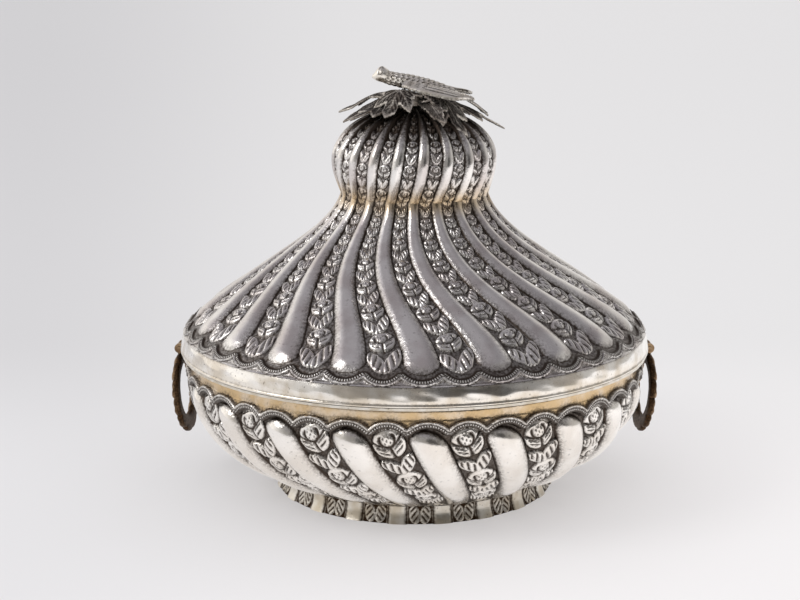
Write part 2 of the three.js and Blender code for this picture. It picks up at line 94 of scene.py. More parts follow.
def smoothstep(value: np.ndarray, low: float, high: float) -> np.ndarray:
    """Smooth step: 0 below low, 1 above high, and 3t^2 - 2t^3 between them."""
    t = np.clip((np.asarray(value, float) - low) / (high - low), 0.0, 1.0)
    return t * t * (3.0 - 2.0 * t)


def bell(value: np.ndarray, width: float) -> np.ndarray:
    """Bell curve exp(-(value / width)^2), 1 at zero."""
    return np.exp(-((value / width) ** 2))


def dome(distance: np.ndarray, power: float = 2.0) -> np.ndarray:
    """Rounded pad: the root of 1 - distance^power, and 0 outside distance 1."""
    return np.sqrt(np.clip(1.0 - np.abs(distance) ** power, 0.0, 1.0))


def bezier(points: list[tuple[float, float]], steps: int) -> np.ndarray:
    """Points along a cubic Bezier curve, by its Bernstein polynomials.

    Args:
        points: the curve's two ends with its two pulls between them.
        steps: number of equal steps of the parameter.

    Returns:
        An array of steps + 1 rows of (radius, height).
    """
    t = np.linspace(0.0, 1.0, steps + 1)[:, None]
    p = np.asarray(points, float)
    start, end = (1 - t) ** 3 * p[0], t**3 * p[3]
    return start + 3 * (1 - t) ** 2 * t * p[1] + 3 * (1 - t) * t**2 * p[2] + end


def node_box(name: str) -> list[list[float]]:
    """Lowest and highest corner of a CAD node, in millimetres."""
    return (np.array(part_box(name)) / MM).tolist()


BAND_LOW, BAND_HIGH = node_box("lid_rim_band")
KNOP_LOW, KNOP_HIGH = node_box("lid_knop")
BOWL_LOW, BOWL_HIGH = node_box("bowl_shell")
STEM_LOW, STEM_HIGH = node_box("finial_stem")


# Meshes


def stitch(fine: np.ndarray, coarse: np.ndarray, flip: bool = False) -> np.ndarray:
    """Triangles between a fine row of vertices and a coarse one beside it.

    Each coarse vertex takes a fan over its share of the fine row, and one more triangle
    carries the fan on to the next coarse vertex.

    Args:
        fine: vertex numbers along the fine row.
        coarse: vertex numbers along the coarse row, over the same stretch.
        flip: turns the faces to the other side.

    Returns:
        An array of three vertex numbers a face.
    """
    share = (len(fine) - 1) // (len(coarse) - 1)
    owner = np.arange(len(fine) - 1) // share
    fans = np.stack([fine[:-1], fine[1:], coarse[owner]], axis=-1)
    ends = fine[np.arange(1, len(coarse)) * share]
    joints = np.stack([ends, coarse[1:], coarse[:-1]], axis=-1)
    faces = np.concatenate([fans, joints])
    return faces[:, ::-1] if flip else faces


@dataclass
class Marks:
    """What the finish needs to know at each vertex.

    The oxide mark is 0 on rubbed crests and 1 in the dark ground, and also carries painted
    shade and painted highlights; tarnish is the share of yellow film, and bead is the place in
    a row of punched beads: half widths across it, pitches along.
    """

    oxide_and_shade: np.ndarray | float = 0.0
    tarnish: np.ndarray | float = 0.0
    bead_across: np.ndarray | float = NO_BEAD
    bead_along: np.ndarray | float = 0.0

    def table(self, shape: tuple[int, ...]) -> np.ndarray:
        """Spreads the marks over a grid.

        Args:
            shape: rows and columns of the grid.

        Returns:
            One row of four values a vertex.
        """
        parts = (self.oxide_and_shade, self.tarnish, self.bead_across, self.bead_along)
        wide = [np.broadcast_to(np.asarray(part, float), shape).reshape(-1) for part in parts]
        return np.stack(wide, axis=1)


@dataclass
class Piece:
    """A mesh in the making: vertices in millimetres, their marks, and faces."""

    name: str
    points: list[np.ndarray] = field(default_factory=list)
    marks: list[np.ndarray] = field(default_factory=list)
    faces: list[np.ndarray] = field(default_factory=list)

    def add_points(self, points: np.ndarray, marks: Marks) -> int:
        """Adds vertices without faces.

        Args:
            points: the vertices, in any shape that ends in 3.
            marks: the vertices' marks.

        Returns:
            The number of the first one.
        """
        start = sum(len(p) for p in self.points)
        self.points.append(np.asarray(points, float).reshape(-1, 3))
        self.marks.append(marks.table(points.shape[:-1]))
        return start

    def add_grid(
        self, points: np.ndarray, marks: Marks, closed: bool = False, flip: bool = False
    ) -> np.ndarray:
        """Adds a grid of vertices with its faces.

        Args:
            points: rows x columns x 3.
            marks: the vertices' marks.
            closed: joins the last column to the first.
            flip: turns the faces to the other side.

        Returns:
            The vertex numbers as rows x columns.
        """
        rows, cols = points.shape[:2]
        start = self.add_points(points, marks)
        index = start + np.arange(rows * cols).reshape(rows, cols)
        run = np.concatenate([index, index[:, :1]], axis=1) if closed else index
        self.add_quads(run[:-1], run[1:], flip)
        return index

    def add_quads(self, near: np.ndarray, far: np.ndarray, flip: bool = False) -> None:
        """Joins rows of vertex numbers by quads.

        Args:
            near: one row or several.
            far: the row beyond each of them.
            flip: turns the faces to the other side.
        """
        near, far = np.atleast_2d(near), np.atleast_2d(far)
        quads = np.stack([near[:, :-1], near[:, 1:], far[:, 1:], far[:, :-1]], axis=-1)
        quads = quads.reshape(-1, 4)
        self.faces.append(quads[:, ::-1] if flip else quads)

    def add_band(self, near: np.ndarray, far: np.ndarray, flip: bool = False) -> None:
        """Joins two closed rings of vertex numbers by quads."""
        self.add_quads(np.append(near, near[0]), np.append(far, far[0]), flip)

    def add_fan(self, ring: np.ndarray, point: np.ndarray, marks: Marks, flip: bool = False) -> None:
        """Closes a ring of vertex numbers with triangles to one point.

        Args:
            ring: the ring's vertex numbers.
            point: the place of the point.
            marks: the point's marks.
            flip: turns the faces to the other side.
        """
        tip = self.add_points(np.asarray(point, float)[None], marks)
        fan = np.stack([ring, np.roll(ring, -1), np.full(len(ring), tip)], axis=-1)
        self.faces.append(fan[:, ::-1] if flip else fan)

    def build(self, sharp_deg: float = 50.0) -> bpy.types.Object:
        """Makes the Blender object, smooth but for edges sharper than the angle.

        Args:
            sharp_deg: angle between faces above which an edge stays sharp.

        Returns:
            The object, at the origin, with its place in its mesh.
        """
        mesh = bpy.data.meshes.new(self.name)
        verts = np.concatenate(self.points) * MM
        loops = np.concatenate([f.reshape(-1) for f in self.faces])
        totals = np.concatenate([np.full(len(f), f.shape[1]) for f in self.faces])
        mesh.vertices.add(len(verts))
        mesh.vertices.foreach_set("co", verts.astype(np.float32).reshape(-1))
        mesh.loops.add(len(loops))
        mesh.loops.foreach_set("vertex_index", loops.astype(np.int32))
        mesh.polygons.add(len(totals))
        starts = np.concatenate([[0], np.cumsum(totals)[:-1]])
        mesh.polygons.foreach_set("loop_start", starts.astype(np.int32))
        mesh.update(calc_edges=True)
        mesh.validate()
        mesh.shade_smooth()
        mesh.set_sharp_from_angle(angle=math.radians(sharp_deg))
        marks = np.concatenate(self.marks).astype(np.float32)
        for column, name in enumerate(("oxide_and_shade", "tarnish")):
            layer = mesh.attributes.new(name, "FLOAT", "POINT")
            layer.data.foreach_set("value", np.ascontiguousarray(marks[:, column]))
        layer = mesh.attributes.new("bead", "FLOAT_VECTOR", "POINT")
        flat = np.pad(marks[:, 2:4], ((0, 0), (0, 1)))
        layer.data.foreach_set("vector", flat.reshape(-1))
        made = bpy.data.objects.new(self.name, mesh)
        bpy.context.scene.collection.objects.link(made)
        return made


def turn_profile(radius: np.ndarray, height: np.ndarray, angle: np.ndarray) -> np.ndarray:
    """Grid of points (r cos a, r sin a, z) for columns of angles and rows of (r, z)."""
    wide = np.broadcast_arrays(radius, height, angle)
    return np.stack([wide[0] * np.cos(wide[2]), wide[0] * np.sin(wide[2]), wide[1]], axis=-1)


# Finishes


class Node(Enum):
    """Kinds of shader node in the finishes and the studio."""

    ATTRIBUTE = "ShaderNodeAttribute"
    BACKGROUND = "ShaderNodeBackground"
    BUMP = "ShaderNodeBump"
    COORDINATES = "ShaderNodeTexCoord"
    LIGHT_PATH = "ShaderNodeLightPath"
    MAPPING = "ShaderNodeMapping"
    MATERIAL_OUTPUT = "ShaderNodeOutputMaterial"
    MATHS = "ShaderNodeMath"
    MIX = "ShaderNodeMix"
    MIX_SHADER = "ShaderNodeMixShader"
    NOISE = "ShaderNodeTexNoise"
    RANGE = "ShaderNodeMapRange"
    SPLIT = "ShaderNodeSeparateXYZ"
    SURFACE = "ShaderNodeBsdfPrincipled"
    VECTOR_MATHS = "ShaderNodeVectorMath"
    WORLD_OUTPUT = "ShaderNodeOutputWorld"


PLUS = {"operation": "ADD"}
MINUS = {"operation": "SUBTRACT"}
TIMES = {"operation": "MULTIPLY"}
SMOOTH = {"interpolation_type": "SMOOTHSTEP"}
COLOURS = {"data_type": "RGBA"}


def linear(hex_colour: str) -> tuple[float, float, float, float]:
    """Linear colour of an sRGB hex value, by the sRGB curve.

    Args:
        hex_colour: the colour as #rrggbb.

    Returns:
        Linear red, green and blue, and full opacity.
    """
    srgb = np.array([int(hex_colour[i : i + 2], 16) / 255.0 for i in (1, 3, 5)])
    low, high = srgb / 12.92, ((srgb + 0.055) / 1.055) ** 2.4
    return (*np.where(srgb <= 0.04045, low, high).tolist(), 1.0)


def add_node(
    tree: bpy.types.NodeTree,
    kind: Node,
    inputs: dict | tuple = (),
    wanted: str = "",
    **settings: object,
) -> bpy.types.NodeSocket | None:
    """Adds one node with its settings, and a value or a link in each given input.

    Args:
        tree: the tree that takes the node.
        kind: the kind of node.
        inputs: values and sockets, in order or by the inputs' names.
        wanted: name of the output to give back, or nothing for the first live one.
        settings: the node's own settings.

    Returns:
        That output, or None for a node that has none.
    """
    node = tree.nodes.new(kind.value)
    for name, value in settings.items():
        setattr(node, name, value)
    live = [socket for socket in node.inputs if socket.enabled]
    for key, value in inputs.items() if isinstance(inputs, dict) else enumerate(inputs):
        socket = live[key] if isinstance(key, int) else next(s for s in live if s.name == key)
        if isinstance(value, bpy.types.NodeSocket):
            tree.links.new(value, socket)
        else:
            socket.default_value = value
    outputs = (s for s in node.outputs if s.enabled and wanted in ("", s.name))
    return next(outputs, None)


def node_adder(owner: bpy.types.Material | bpy.types.World) -> Callable:
    """Clears a node tree and gets ready to fill it.

    Args:
        owner: the material or world that owns the tree.

    Returns:
        add_node for that tree.
    """
    owner.use_nodes = True
    owner.node_tree.nodes.clear()
    return partial(add_node, owner.node_tree)


@dataclass(frozen=True)
class SilverFinish:
    """Silver raised from sheet or cast, rubbed bright, with oxide left in its hollows.

    Sizes of patterns and depths of relief are in millimetres. Matting and scratches are finer
    on real silver and are drawn as coarse as they need to show.
    """

    name: str
    bright: str
    stain: str
    film: str
    dark: str
    stain_share: float
    stain_mm: float
    roughness: float
    dark_roughness: float
    dent_mm: float
    dent_depth_mm: float
    grain_mm: float
    grain_depth_mm: float
    speck_share: float = 0.0
    speck_mm: float = 1.8
    bead_depth_mm: float = 0.0
    bead_shine: float = 0.8
    scratch_depth_mm: float = 0.0
    scratch_mm: float = 1.1
    scratch_run: float = 20.0
    film_mm: float = 9.0
    film_least: float = 0.6
    raggedness: float = 7.0

    def beads(self, add: Callable) -> bpy.types.NodeSocket:
        """Row of punched beads: a cosine along the row times a smooth step across it.

        Args:
            add: add_node for the material's tree.

        Returns:
            1 on a bead's top and 0 beside the row.
        """
        mark = add(Node.ATTRIBUTE, wanted="Vector", attribute_name="bead")
        split = add(Node.SPLIT, (mark,)).node.outputs
        across = add(Node.MATHS, (split["X"],), operation="ABSOLUTE")
        row = add(Node.RANGE, (across, 0.95, 0.3), **SMOOTH)
        turn = add(Node.MATHS, (split["Y"], TURN), **TIMES)
        wave = add(Node.MATHS, (turn,), operation="COSINE")
        return add(Node.MATHS, (row, add(Node.RANGE, (wave, -0.7, 0.7), **SMOOTH)), **TIMES)

    def material(self) -> bpy.types.Material:
        """Builds the node material from the mesh's marks and from noise on Object coordinates.

        The colour goes from bright to stained in patches, to the film where the tarnish mark
        is high, and to dark under specks and under the oxide mark, which also carries painted
        shade. The bumps are dents, scratches, beads and the matting of the dark ground, one on
        top of the other.

        Returns:
            The material.
        """
        made = bpy.data.materials.new(self.name)
        add = node_adder(made)
        bright, stain, film, dark = map(linear, (self.bright, self.stain, self.film, self.dark))
        place = add(Node.COORDINATES, wanted="Object")
        oxide_and_shade, tarnish = (
            add(Node.ATTRIBUTE, wanted="Fac", attribute_name=name) for name in ("oxide_and_shade", "tarnish")
        )
        patterns = (
            (self.grain_mm * 1.7, 3.0),
            (self.stain_mm, 4.0),
            (self.film_mm, 4.0),
            (self.speck_mm, 3.0),
            (self.dent_mm, 1.0),
            (self.grain_mm, 2.0),
        )
        rags, stains, films, specks, dents, grain = (
            add(Node.NOISE, {"Vector": place, "Scale": 1.0 / (size_mm * MM), "Detail": detail})
            for size_mm, detail in patterns
        )
        # The oxide's edge is ragged: noise counts most where the mark is half way
        bare = add(Node.MATHS, (1.0, oxide_and_shade), **MINUS)
        half_way = add(Node.MATHS, (oxide_and_shade, bare), **TIMES)
        gain = add(Node.MATHS, (half_way, self.raggedness), **TIMES)
        rag = add(Node.MATHS, (add(Node.MATHS, (rags, 0.5), **MINUS), gain), **TIMES)
        cover = add(Node.MATHS, (oxide_and_shade, rag), use_clamp=True, **PLUS)
        patches = add(Node.RANGE, (stains, 0.38, 0.66, 0.0, self.stain_share), **SMOOTH)
        uneven = add(Node.RANGE, (films, 0.25, 0.62, self.film_least), **SMOOTH)
        veil = add(Node.MATHS, (tarnish, uneven), **TIMES)
        colour = add(Node.MIX, (patches, bright, stain), **COLOURS)
        colour = add(Node.MIX, (veil, colour, film), **COLOURS)
        spots = add(Node.RANGE, (specks, 0.64, 0.72, 0.0, self.speck_share), **SMOOTH)
        colour = add(Node.MIX, (spots, colour, dark), **COLOURS)
        colour = add(Node.MIX, (cover, colour, dark), **COLOURS)
        dull = add(Node.MATHS, (cover, add(Node.MATHS, (patches, 0.25), **TIMES)), **PLUS)
        rough = add(Node.RANGE, (dull, 0.0, 1.0, self.roughness, self.dark_roughness), **SMOOTH)
        layers = [(dents, self.dent_depth_mm)]
        if self.scratch_depth_mm:
            flat = (1.0 / self.scratch_run, 1.0 / self.scratch_run, 1.0)
            drawn = add(Node.MAPPING, {"Vector": place, "Scale": flat})
            scale = 1.0 / (self.scratch_mm * MM)
            lines = add(Node.NOISE, {"Vector": drawn, "Scale": scale, "Detail": 2.0})
            layers.append((lines, self.scratch_depth_mm))
        if self.bead_depth_mm:
            beads = self.beads(add)
            layers.append((beads, self.bead_depth_mm))
            shine = add(Node.MATHS, (beads, self.bead_shine), **TIMES)
            colour = add(Node.MIX, (shine, colour, bright), **COLOURS)
        matted = add(Node.MATHS, (grain, add(Node.MATHS, (cover, 0.1), **PLUS)), **TIMES)
        layers.append((matted, self.grain_depth_mm))
        surface = {"Base Color": colour, "Metallic": 1.0, "Roughness": rough}
        for height, depth_mm in layers:
            bump = {"Height": height, "Distance": depth_mm * MM}
            if "Normal" in surface:
                bump["Normal"] = surface["Normal"]
            surface["Normal"] = add(Node.BUMP, bump)
        add(Node.MATERIAL_OUTPUT, (add(Node.SURFACE, surface),))
        return made


# Silver sheet raised from behind and chased from the front: soft highlights on rubbed, slightly
# dented crests, lilac-grey stains, and a brown-black matted ground
CHASED_SILVER = SilverFinish(
    name="raised_and_chased_silver",
    bright="#edeae6",
    stain="#b5a7a3",
    film="#c4a36c",
    dark="#453c35",
    stain_share=0.5,
    stain_mm=17.0,
    roughness=0.2,
    dark_roughness=0.42,
    dent_mm=4.6,
    dent_depth_mm=0.16,
    grain_mm=0.7,
    grain_depth_mm=0.22,
    speck_share=0.3,
    bead_depth_mm=0.45,
)
# The same sheet painted brighter on the bowl, a painted reflection of the pale floor: its gadroons are
# nearly white
CHASED_SILVER_PAINTED_BRIGHT = replace(
    CHASED_SILVER,
    name="raised_and_chased_silver_painted_bright",
    bright="#f0ece6",
    stain="#cfc5b8",
    stain_share=0.45,
)
# Silver band burnished smooth: long wavy reflections with spots and hair scratches along the turn
BURNISHED_SILVER = SilverFinish(
    name="burnished_silver_sheet",
    bright="#f2efea",
    stain="#cbc0b0",
    film="#d3c19c",
    dark="#4a3f34",
    stain_share=0.75,
    stain_mm=11.0,
    roughness=0.2,
    dark_roughness=0.45,
    dent_mm=8.0,
    dent_depth_mm=0.22,
    grain_mm=0.9,
    grain_depth_mm=0.03,
    speck_share=0.6,
    speck_mm=1.3,
    scratch_depth_mm=0.012,
)
# Silver sheet with an old yellow film, brushed by polishing: a warm satin with brown hollows
TARNISHED_SILVER = SilverFinish(
    name="tarnished_silver_sheet",
    bright="#dad5cb",
    stain="#b5a78e",
    film="#b48d55",
    dark="#35271b",
    stain_share=0.65,
    stain_mm=8.0,
    roughness=0.32,
    dark_roughness=0.55,
    dent_mm=5.0,
    dent_depth_mm=0.08,
    grain_mm=0.8,
    grain_depth_mm=0.08,
    speck_share=0.4,
    scratch_depth_mm=0.05,
)
# Silver cast or cut from plate and left dark: pale edges, rubbed and painted as highlights, round
# grey-brown faces
CAST_SILVER = SilverFinish(
    name="cast_and_cut_silver",
    bright="#dbd4c9",
    stain="#8f8379",
    film="#8a6a45",
    dark="#27211e",
    stain_share=0.8,
    stain_mm=5.0,
    roughness=0.3,
    dark_roughness=0.5,
    dent_mm=2.0,
    dent_depth_mm=0.12,
    grain_mm=0.45,
    grain_depth_mm=0.12,
)
# The same casting where hands rub it, on the bird: beige silver with dark lines between feathers
RUBBED_CAST_SILVER = replace(
    CAST_SILVER, name="rubbed_cast_silver", bright="#f2ede4", stain="#d2c7b6", stain_share=0.6
)
# Cast silver browned by handling: a dull bronze look with worn lighter ridges
HANDLE_SILVER = SilverFinish(
    name="browned_cast_silver",
    bright="#a58d70",
    stain="#6e5740",
    film="#6b4a2b",
    dark="#2b2018",
    stain_share=0.9,
    stain_mm=6.0,
    roughness=0.36,
    dark_roughness=0.6,
    dent_mm=2.6,
    dent_depth_mm=0.2,
    grain_mm=0.6,
    grain_depth_mm=0.15,
)


class Finishes:
    """Keeps one material a finish."""

    def __init__(self) -> None:
        """Starts with no material made."""
        self.made: dict[str, bpy.types.Material] = {}

    def dress(self, piece: bpy.types.Object, finish: SilverFinish) -> None:
        """Puts a finish on a new piece or on a CAD node, and makes its material at first use.

        Args:
            piece: the object to dress.
            finish: its finish.
        """
        if finish.name not in self.made:
            self.made[finish.name] = finish.material()
        piece.data.materials.clear()
        piece.data.materials.append(self.made[finish.name])


FINISHES = Finishes()


def settle(
    piece: bpy.types.Object, finish: SilverFinish, body: Body, slot: Slot, *nodes: str
) -> bpy.types.Object:
    """Dresses a new piece, hides the CAD nodes it stands for, and lets it ride.

    Args:
        piece: the new object.
        finish: its finish.
        body: the body that it moves with.
        slot: its material slot in the record, not used.
        nodes: names of the CAD nodes that it stands for.

    Returns:
        The same object.
    """
    FINISHES.dress(piece, finish)
    if nodes:
        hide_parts(*nodes)
    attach(piece, body.value)
    log.info("%s rides on %s, %d faces", piece.name, body.value, len(piece.data.polygons))
    return piece


# Profiles and ornament


@dataclass
class Profile:
    """A profile line that runs up the outside of a shell, in millimetres."""

    points: np.ndarray

    def __post_init__(self) -> None:
        """Works out the distance along the line and its outward normals."""
        steps = np.hypot(*np.diff(self.points, axis=0).T)
        self.arc = np.concatenate([[0.0], np.cumsum(steps)])
        tangent = np.stack([np.gradient(self.points[:, i], self.arc) for i in (0, 1)], axis=1)
        tangent /= np.hypot(*tangent.T)[:, None]
        self.normal = np.stack([tangent[:, 1], -tangent[:, 0]], axis=1)

    @property
    def length(self) -> float:
        """Length of the whole line."""
        return float(self.arc[-1])

    def at(self, arc: np.ndarray) -> tuple[np.ndarray, ...]:
        """Radius, height and the two parts of the normal at distances along the line."""
        return tuple(np.interp(arc, self.arc, c) for c in (*self.points.T, *self.normal.T))


def ground(reach: np.ndarray, bold: bool) -> np.ndarray:
    """Oxide round a pad: matted from its edge on, paler if bold, and a black line along the edge."""
    matt = 0.6 if bold else GROUND
    return np.maximum(matt * smoothstep(reach, 0.9, 0.99), 0.98 * bell(reach - 1.03, 0.09))


def medallion(x: np.ndarray, y: np.ndarray, bold: bool) -> tuple[np.ndarray, np.ndarray]:
    """A round pad chased with a bud in a cup, its stem, and two hatched leaves.

    The cup is a circle round the bud, open at the top, the stem runs down from it, two arms
    run from it to the rim, and the leaves are the fields beside the stem, hatched by strokes
    that rise outwards.

    Args:
        x: place across the pad in radii.
        y: place up the pad in radii.
        bold: one dot for the bud's seeds and fewer strokes, for small pads.

    Returns:
        Height as a share of the pad's, and oxide.
    """
    rim = np.hypot(x, y)
    side = np.abs(x)
    pad = dome(rim, 3.4 if bold else 2.6)
    bud = np.hypot(x * 1.05, y - 0.3)
    line = 0.15 if bold else 0.11
    cup = bell(bud - 0.47, line) * smoothstep(-y, -0.72, -0.5)
    stem = bell(side, line) * smoothstep(-y, 0.08, 0.2)
    arm = bell(y + 0.12 - 0.75 * (side - 0.3), line) * smoothstep(side, 0.3, 0.42)
    cut = np.maximum.reduce([cup, stem, arm])
    pitch = 0.52 if bold else 0.3
    strokes = (0.5 + 0.5 * np.cos(TURN * (y - 0.55 * side + 0.42) / pitch)) ** 1.6
    field_low = smoothstep(0.75 * (side - 0.3) - y - 0.12, 0.06, 0.16) * smoothstep(side, 0.14, 0.24)
    hatch = strokes * field_low * (1 - smoothstep(rim, 0.74, 0.88))
    seeds = np.clip(np.cos(TURN * x / 0.34) * np.cos(TURN * (y - 0.3) / 0.34), 0, 1) ** 1.5
    seeds = bell(bud, 0.14) if bold else seeds * (1 - smoothstep(bud, 0.26, 0.38))
    height = pad - 0.5 * cut - 0.34 * hatch - 0.3 * seeds
    marks = np.maximum.reduce([cut, 0.9 * hatch, seeds]) * (rim < 1.0)
    return np.where(rim < 1.0, height, 0.0), np.maximum(marks, ground(rim, bold))


def leaf_pair(
    x: np.ndarray, y: np.ndarray, stand_deg: float, spread: float, bold: bool
) -> tuple[np.ndarray, np.ndarray]:
    """Two pointed leaves in a V, hatched by strokes that leave the axes like veins.

    Args:
        x: place across the pair, -1 to 1.
        y: place up the pair, -1 to 1.
        stand_deg: angle of the leaves' axes above the horizontal.
        spread: place of the leaves' middles across the pair.
        bold: faint strokes, for small leaves.

    Returns:
        Height as a share of the pad's, and oxide.
    """
    side = np.abs(x)
    slope = math.radians(stand_deg)
    along = ((side - spread) * math.cos(slope) + (y + 0.02) * math.sin(slope)) / 1.02
    across = (y + 0.02) * math.cos(slope) - (side - spread) * math.sin(slope)
    wide = 0.47 * np.clip(1 - along**2, 0.0, 1.0) ** 0.5 + 1e-6
    reach = np.hypot(np.minimum(np.abs(across) / wide, 3.0), along**4)
    reach = np.where(np.abs(along) < 1.0, reach, 1.0 + 4.0 * (np.abs(along) - 1.0))
    pad = dome(np.minimum(reach, 1.5), 2.4)
    strokes = (0.5 + 0.5 * np.cos(TURN * (0.8 * across - 0.6 * along + 0.06) / 0.37)) ** 1.6
    hatch = (0.4 if bold else 1.0) * strokes * (1 - smoothstep(reach, 0.56, 0.8))
    height = 0.92 * pad - 0.36 * hatch
    inside = reach < 1.0
    return np.where(inside, height, 0.0), np.maximum(0.9 * hatch * inside, ground(reach, bold))


@dataclass
class FloralBand:
    """Medallions that alternate with leaf pairs along a band, sized to the band's width.

    first is the first motif's place along the band and way the side on which the others
    follow. radius_share and pair_rise size medallion and leaf pair by the half width.
    """

    first: float
    first_is_pair: bool
    step_base: float
    step_share: float
    pair_stand_deg: float
    way: int = 1
    radius_share: float = 1.0
    widest_radius: float = 99.0
    flatten: float = 0.9
    pair_rise: float = 0.84
    overrun: float = 9.0
    bold: bool = False

    def chain(self, length: np.ndarray, half_width: np.ndarray) -> tuple[np.ndarray, np.ndarray]:
        """Places the motifs one after the other: each step is base + share x half width.

        Args:
            length: distances along the band at which its half width is known.
            half_width: the half widths there.

        Returns:
            Centres of the motifs along the band, and the band's half width at each.
        """
        centres, widths = [self.first], []
        while length[0] - self.overrun < centres[-1] < length[-1] + self.overrun:
            widths.append(float(np.interp(centres[-1], length, half_width)))
            step = self.step_base + self.step_share * widths[-1]
            centres.append(centres[-1] + self.way * step)
        return np.array(centres[:-1]), np.array(widths)

    def relief(
        self, across: np.ndarray, along: np.ndarray, length: np.ndarray, half_width: np.ndarray
    ) -> tuple[np.ndarray, np.ndarray]:
        """Height share and oxide of the band's ornament: the higher of two near motifs.

        Args:
            across: distance from the band's middle line, in millimetres.
            along: distance along the band, in millimetres.
            length: distances along the band at which its half width is known.
            half_width: the half widths there.

        Returns:
            Height as a share of the pads' rise, and oxide.
        """
        centres, widths = self.chain(length, half_width)
        is_pair = (np.arange(len(centres)) % 2 == 0) == self.first_is_pair
        found = []
        for flag in (False, True):
            order = np.argsort(centres[is_pair == flag])
            mine, wide = centres[is_pair == flag][order], widths[is_pair == flag][order]
            near = np.searchsorted((mine[1:] + mine[:-1]) / 2.0, along)
            w, offset = wide[near], along - mine[near]
            if flag:
                place = (across / w, offset / (self.pair_rise * w))
                found.append(leaf_pair(*place, self.pair_stand_deg, 0.46, self.bold))
            else:
                radius = np.minimum(self.radius_share * w, self.widest_radius)
                found.append(medallion(across / radius, offset / (self.flatten * radius), self.bold))
        pad, pair = found
        oxide_and_shade = np.where(pair[0] > pad[0], pair[1], pad[1])
        bare = np.maximum(pad[0], pair[0]) < 0.02
        oxide_and_shade = np.where(bare, np.maximum(pad[1], pair[1]), oxide_and_shade)
        return np.maximum(pad[0], pair[0]), oxide_and_shade


@dataclass
class Scallops:
    """A border of arcs, one over each gadroon and one over each band, with punched beads.

    edge is the place of the outer edge along the profile, way is 1 where the border grows up
    from it and -1 where it grows down, sag is the depth of the arcs, and lip, row and groove
    are widths, all in millimetres.
    """

    edge: float
    sag: float
    way: int
    lip: float
    row: float
    groove: float
    gadroon_half: float = 0.262
    bead_pitch: float = 1.45
    shade: float = 0.8
    bead_width: float = 1.0
    depth: float = 1.25
    groove_depth: float = 0.9

    @property
    def width(self) -> float:
        """Whole width of lip, bead row and groove."""
        return self.lip + self.row + self.groove

    def distance(self, x: np.ndarray, arc: np.ndarray, repeat: float) -> tuple[np.ndarray, np.ndarray]:
        """Distance inside the border's outer edge, and distance along it.

        Each arc is part of a circle through its two cusps, of radius (w^2 + sag^2) / 2 sag for
        half width w. Beside an arc the distance is to the circle, elsewhere to the nearer cusp.

        Args:
            x: place across, as a share of the repeat from the gadroon's middle.
            arc: place along the profile.
            repeat: width of one repeat in millimetres.

        Returns:
            Millimetres inside the edge, and millimetres along it.
        """
        inward = (arc - self.edge) * self.way
        away = np.full(np.broadcast(x, arc).shape, 1e9)
        along = np.zeros(away.shape)
        inside = np.zeros(away.shape, bool)
        for centre, half in ((0.0, self.gadroon_half), (0.5, 0.5 - self.gadroon_half)):
            wide = half * repeat
            radius = (wide**2 + self.sag**2) / (2.0 * self.sag)
            offset = (np.mod(x - centre + 0.5, 1.0) - 0.5) * repeat
            side = np.abs(offset)
            bearing = np.arctan2(side, radius - inward)
            to_arc = np.abs(radius - np.hypot(side, radius - inward))
            to_cusp = np.hypot(side - wide, inward - self.sag)
            near = np.where(bearing < np.arcsin(wide / radius), to_arc, to_cusp)
            edge_here = radius - np.sqrt(np.maximum(radius**2 - side**2, 0.0))
            inside |= (side <= wide) & (inward > edge_here)
            along = np.where(near < away, np.arctan2(offset, radius - inward) * radius, along)
            away = np.minimum(away, near)
        return np.where(inside, away, -away), along

    def relief(self, inside: np.ndarray, along: np.ndarray) -> tuple[np.ndarray, Marks]:
        """Works out lip, bead row and groove as bells and smooth steps of the distance inside.

        Args:
            inside: millimetres inside the border's outer edge.
            along: millimetres along it.

        Returns:
            Height in millimetres, and marks.
        """
        row_start, groove_start = self.lip, self.lip + self.row
        lip = bell(inside - self.lip * 0.5, self.lip * 0.62)
        row = smoothstep(inside, row_start - 0.3, row_start + 0.3)
        groove = smoothstep(inside, groove_start - 0.25, groove_start + 0.35)
        height = -self.depth + self.depth * np.maximum(lip, 0.5 * row) - self.groove_depth * groove
        # A dark line just outside the lip: painted shadow of the lip
        line = bell(inside + 0.25, 0.5)
        between = bell(inside - row_start, 0.3)
        shade = np.maximum.reduce([self.shade * row, 0.95 * groove, line, 0.8 * between])
        across = np.abs(inside - (row_start + groove_start) / 2.0) / (self.bead_width * self.row / 2.0)
        return height, Marks(oxide_and_shade=shade, bead_across=across, bead_along=along / self.bead_pitch)


def blend_marks(share: np.ndarray, a: Marks, b: Marks) -> Marks:
    """Blends two sets of marks; the beads stay those of the first and end where it does.

    Args:
        share: 0 for the first set and 1 for the second.
        a: the first set.
        b: the second set.

    Returns:
        The blended marks.
    """
    oxide_and_shade = a.oxide_and_shade * (1 - share) + b.oxide_and_shade * share
    tarnish = a.tarnish * (1 - share) + b.tarnish * share
    across = a.bead_across + NO_BEAD * (share > 0.5)
    return Marks(np.clip(oxide_and_shade, 0.0, 1.0), np.clip(tarnish, 0.0, 1.0), across, a.bead_along)


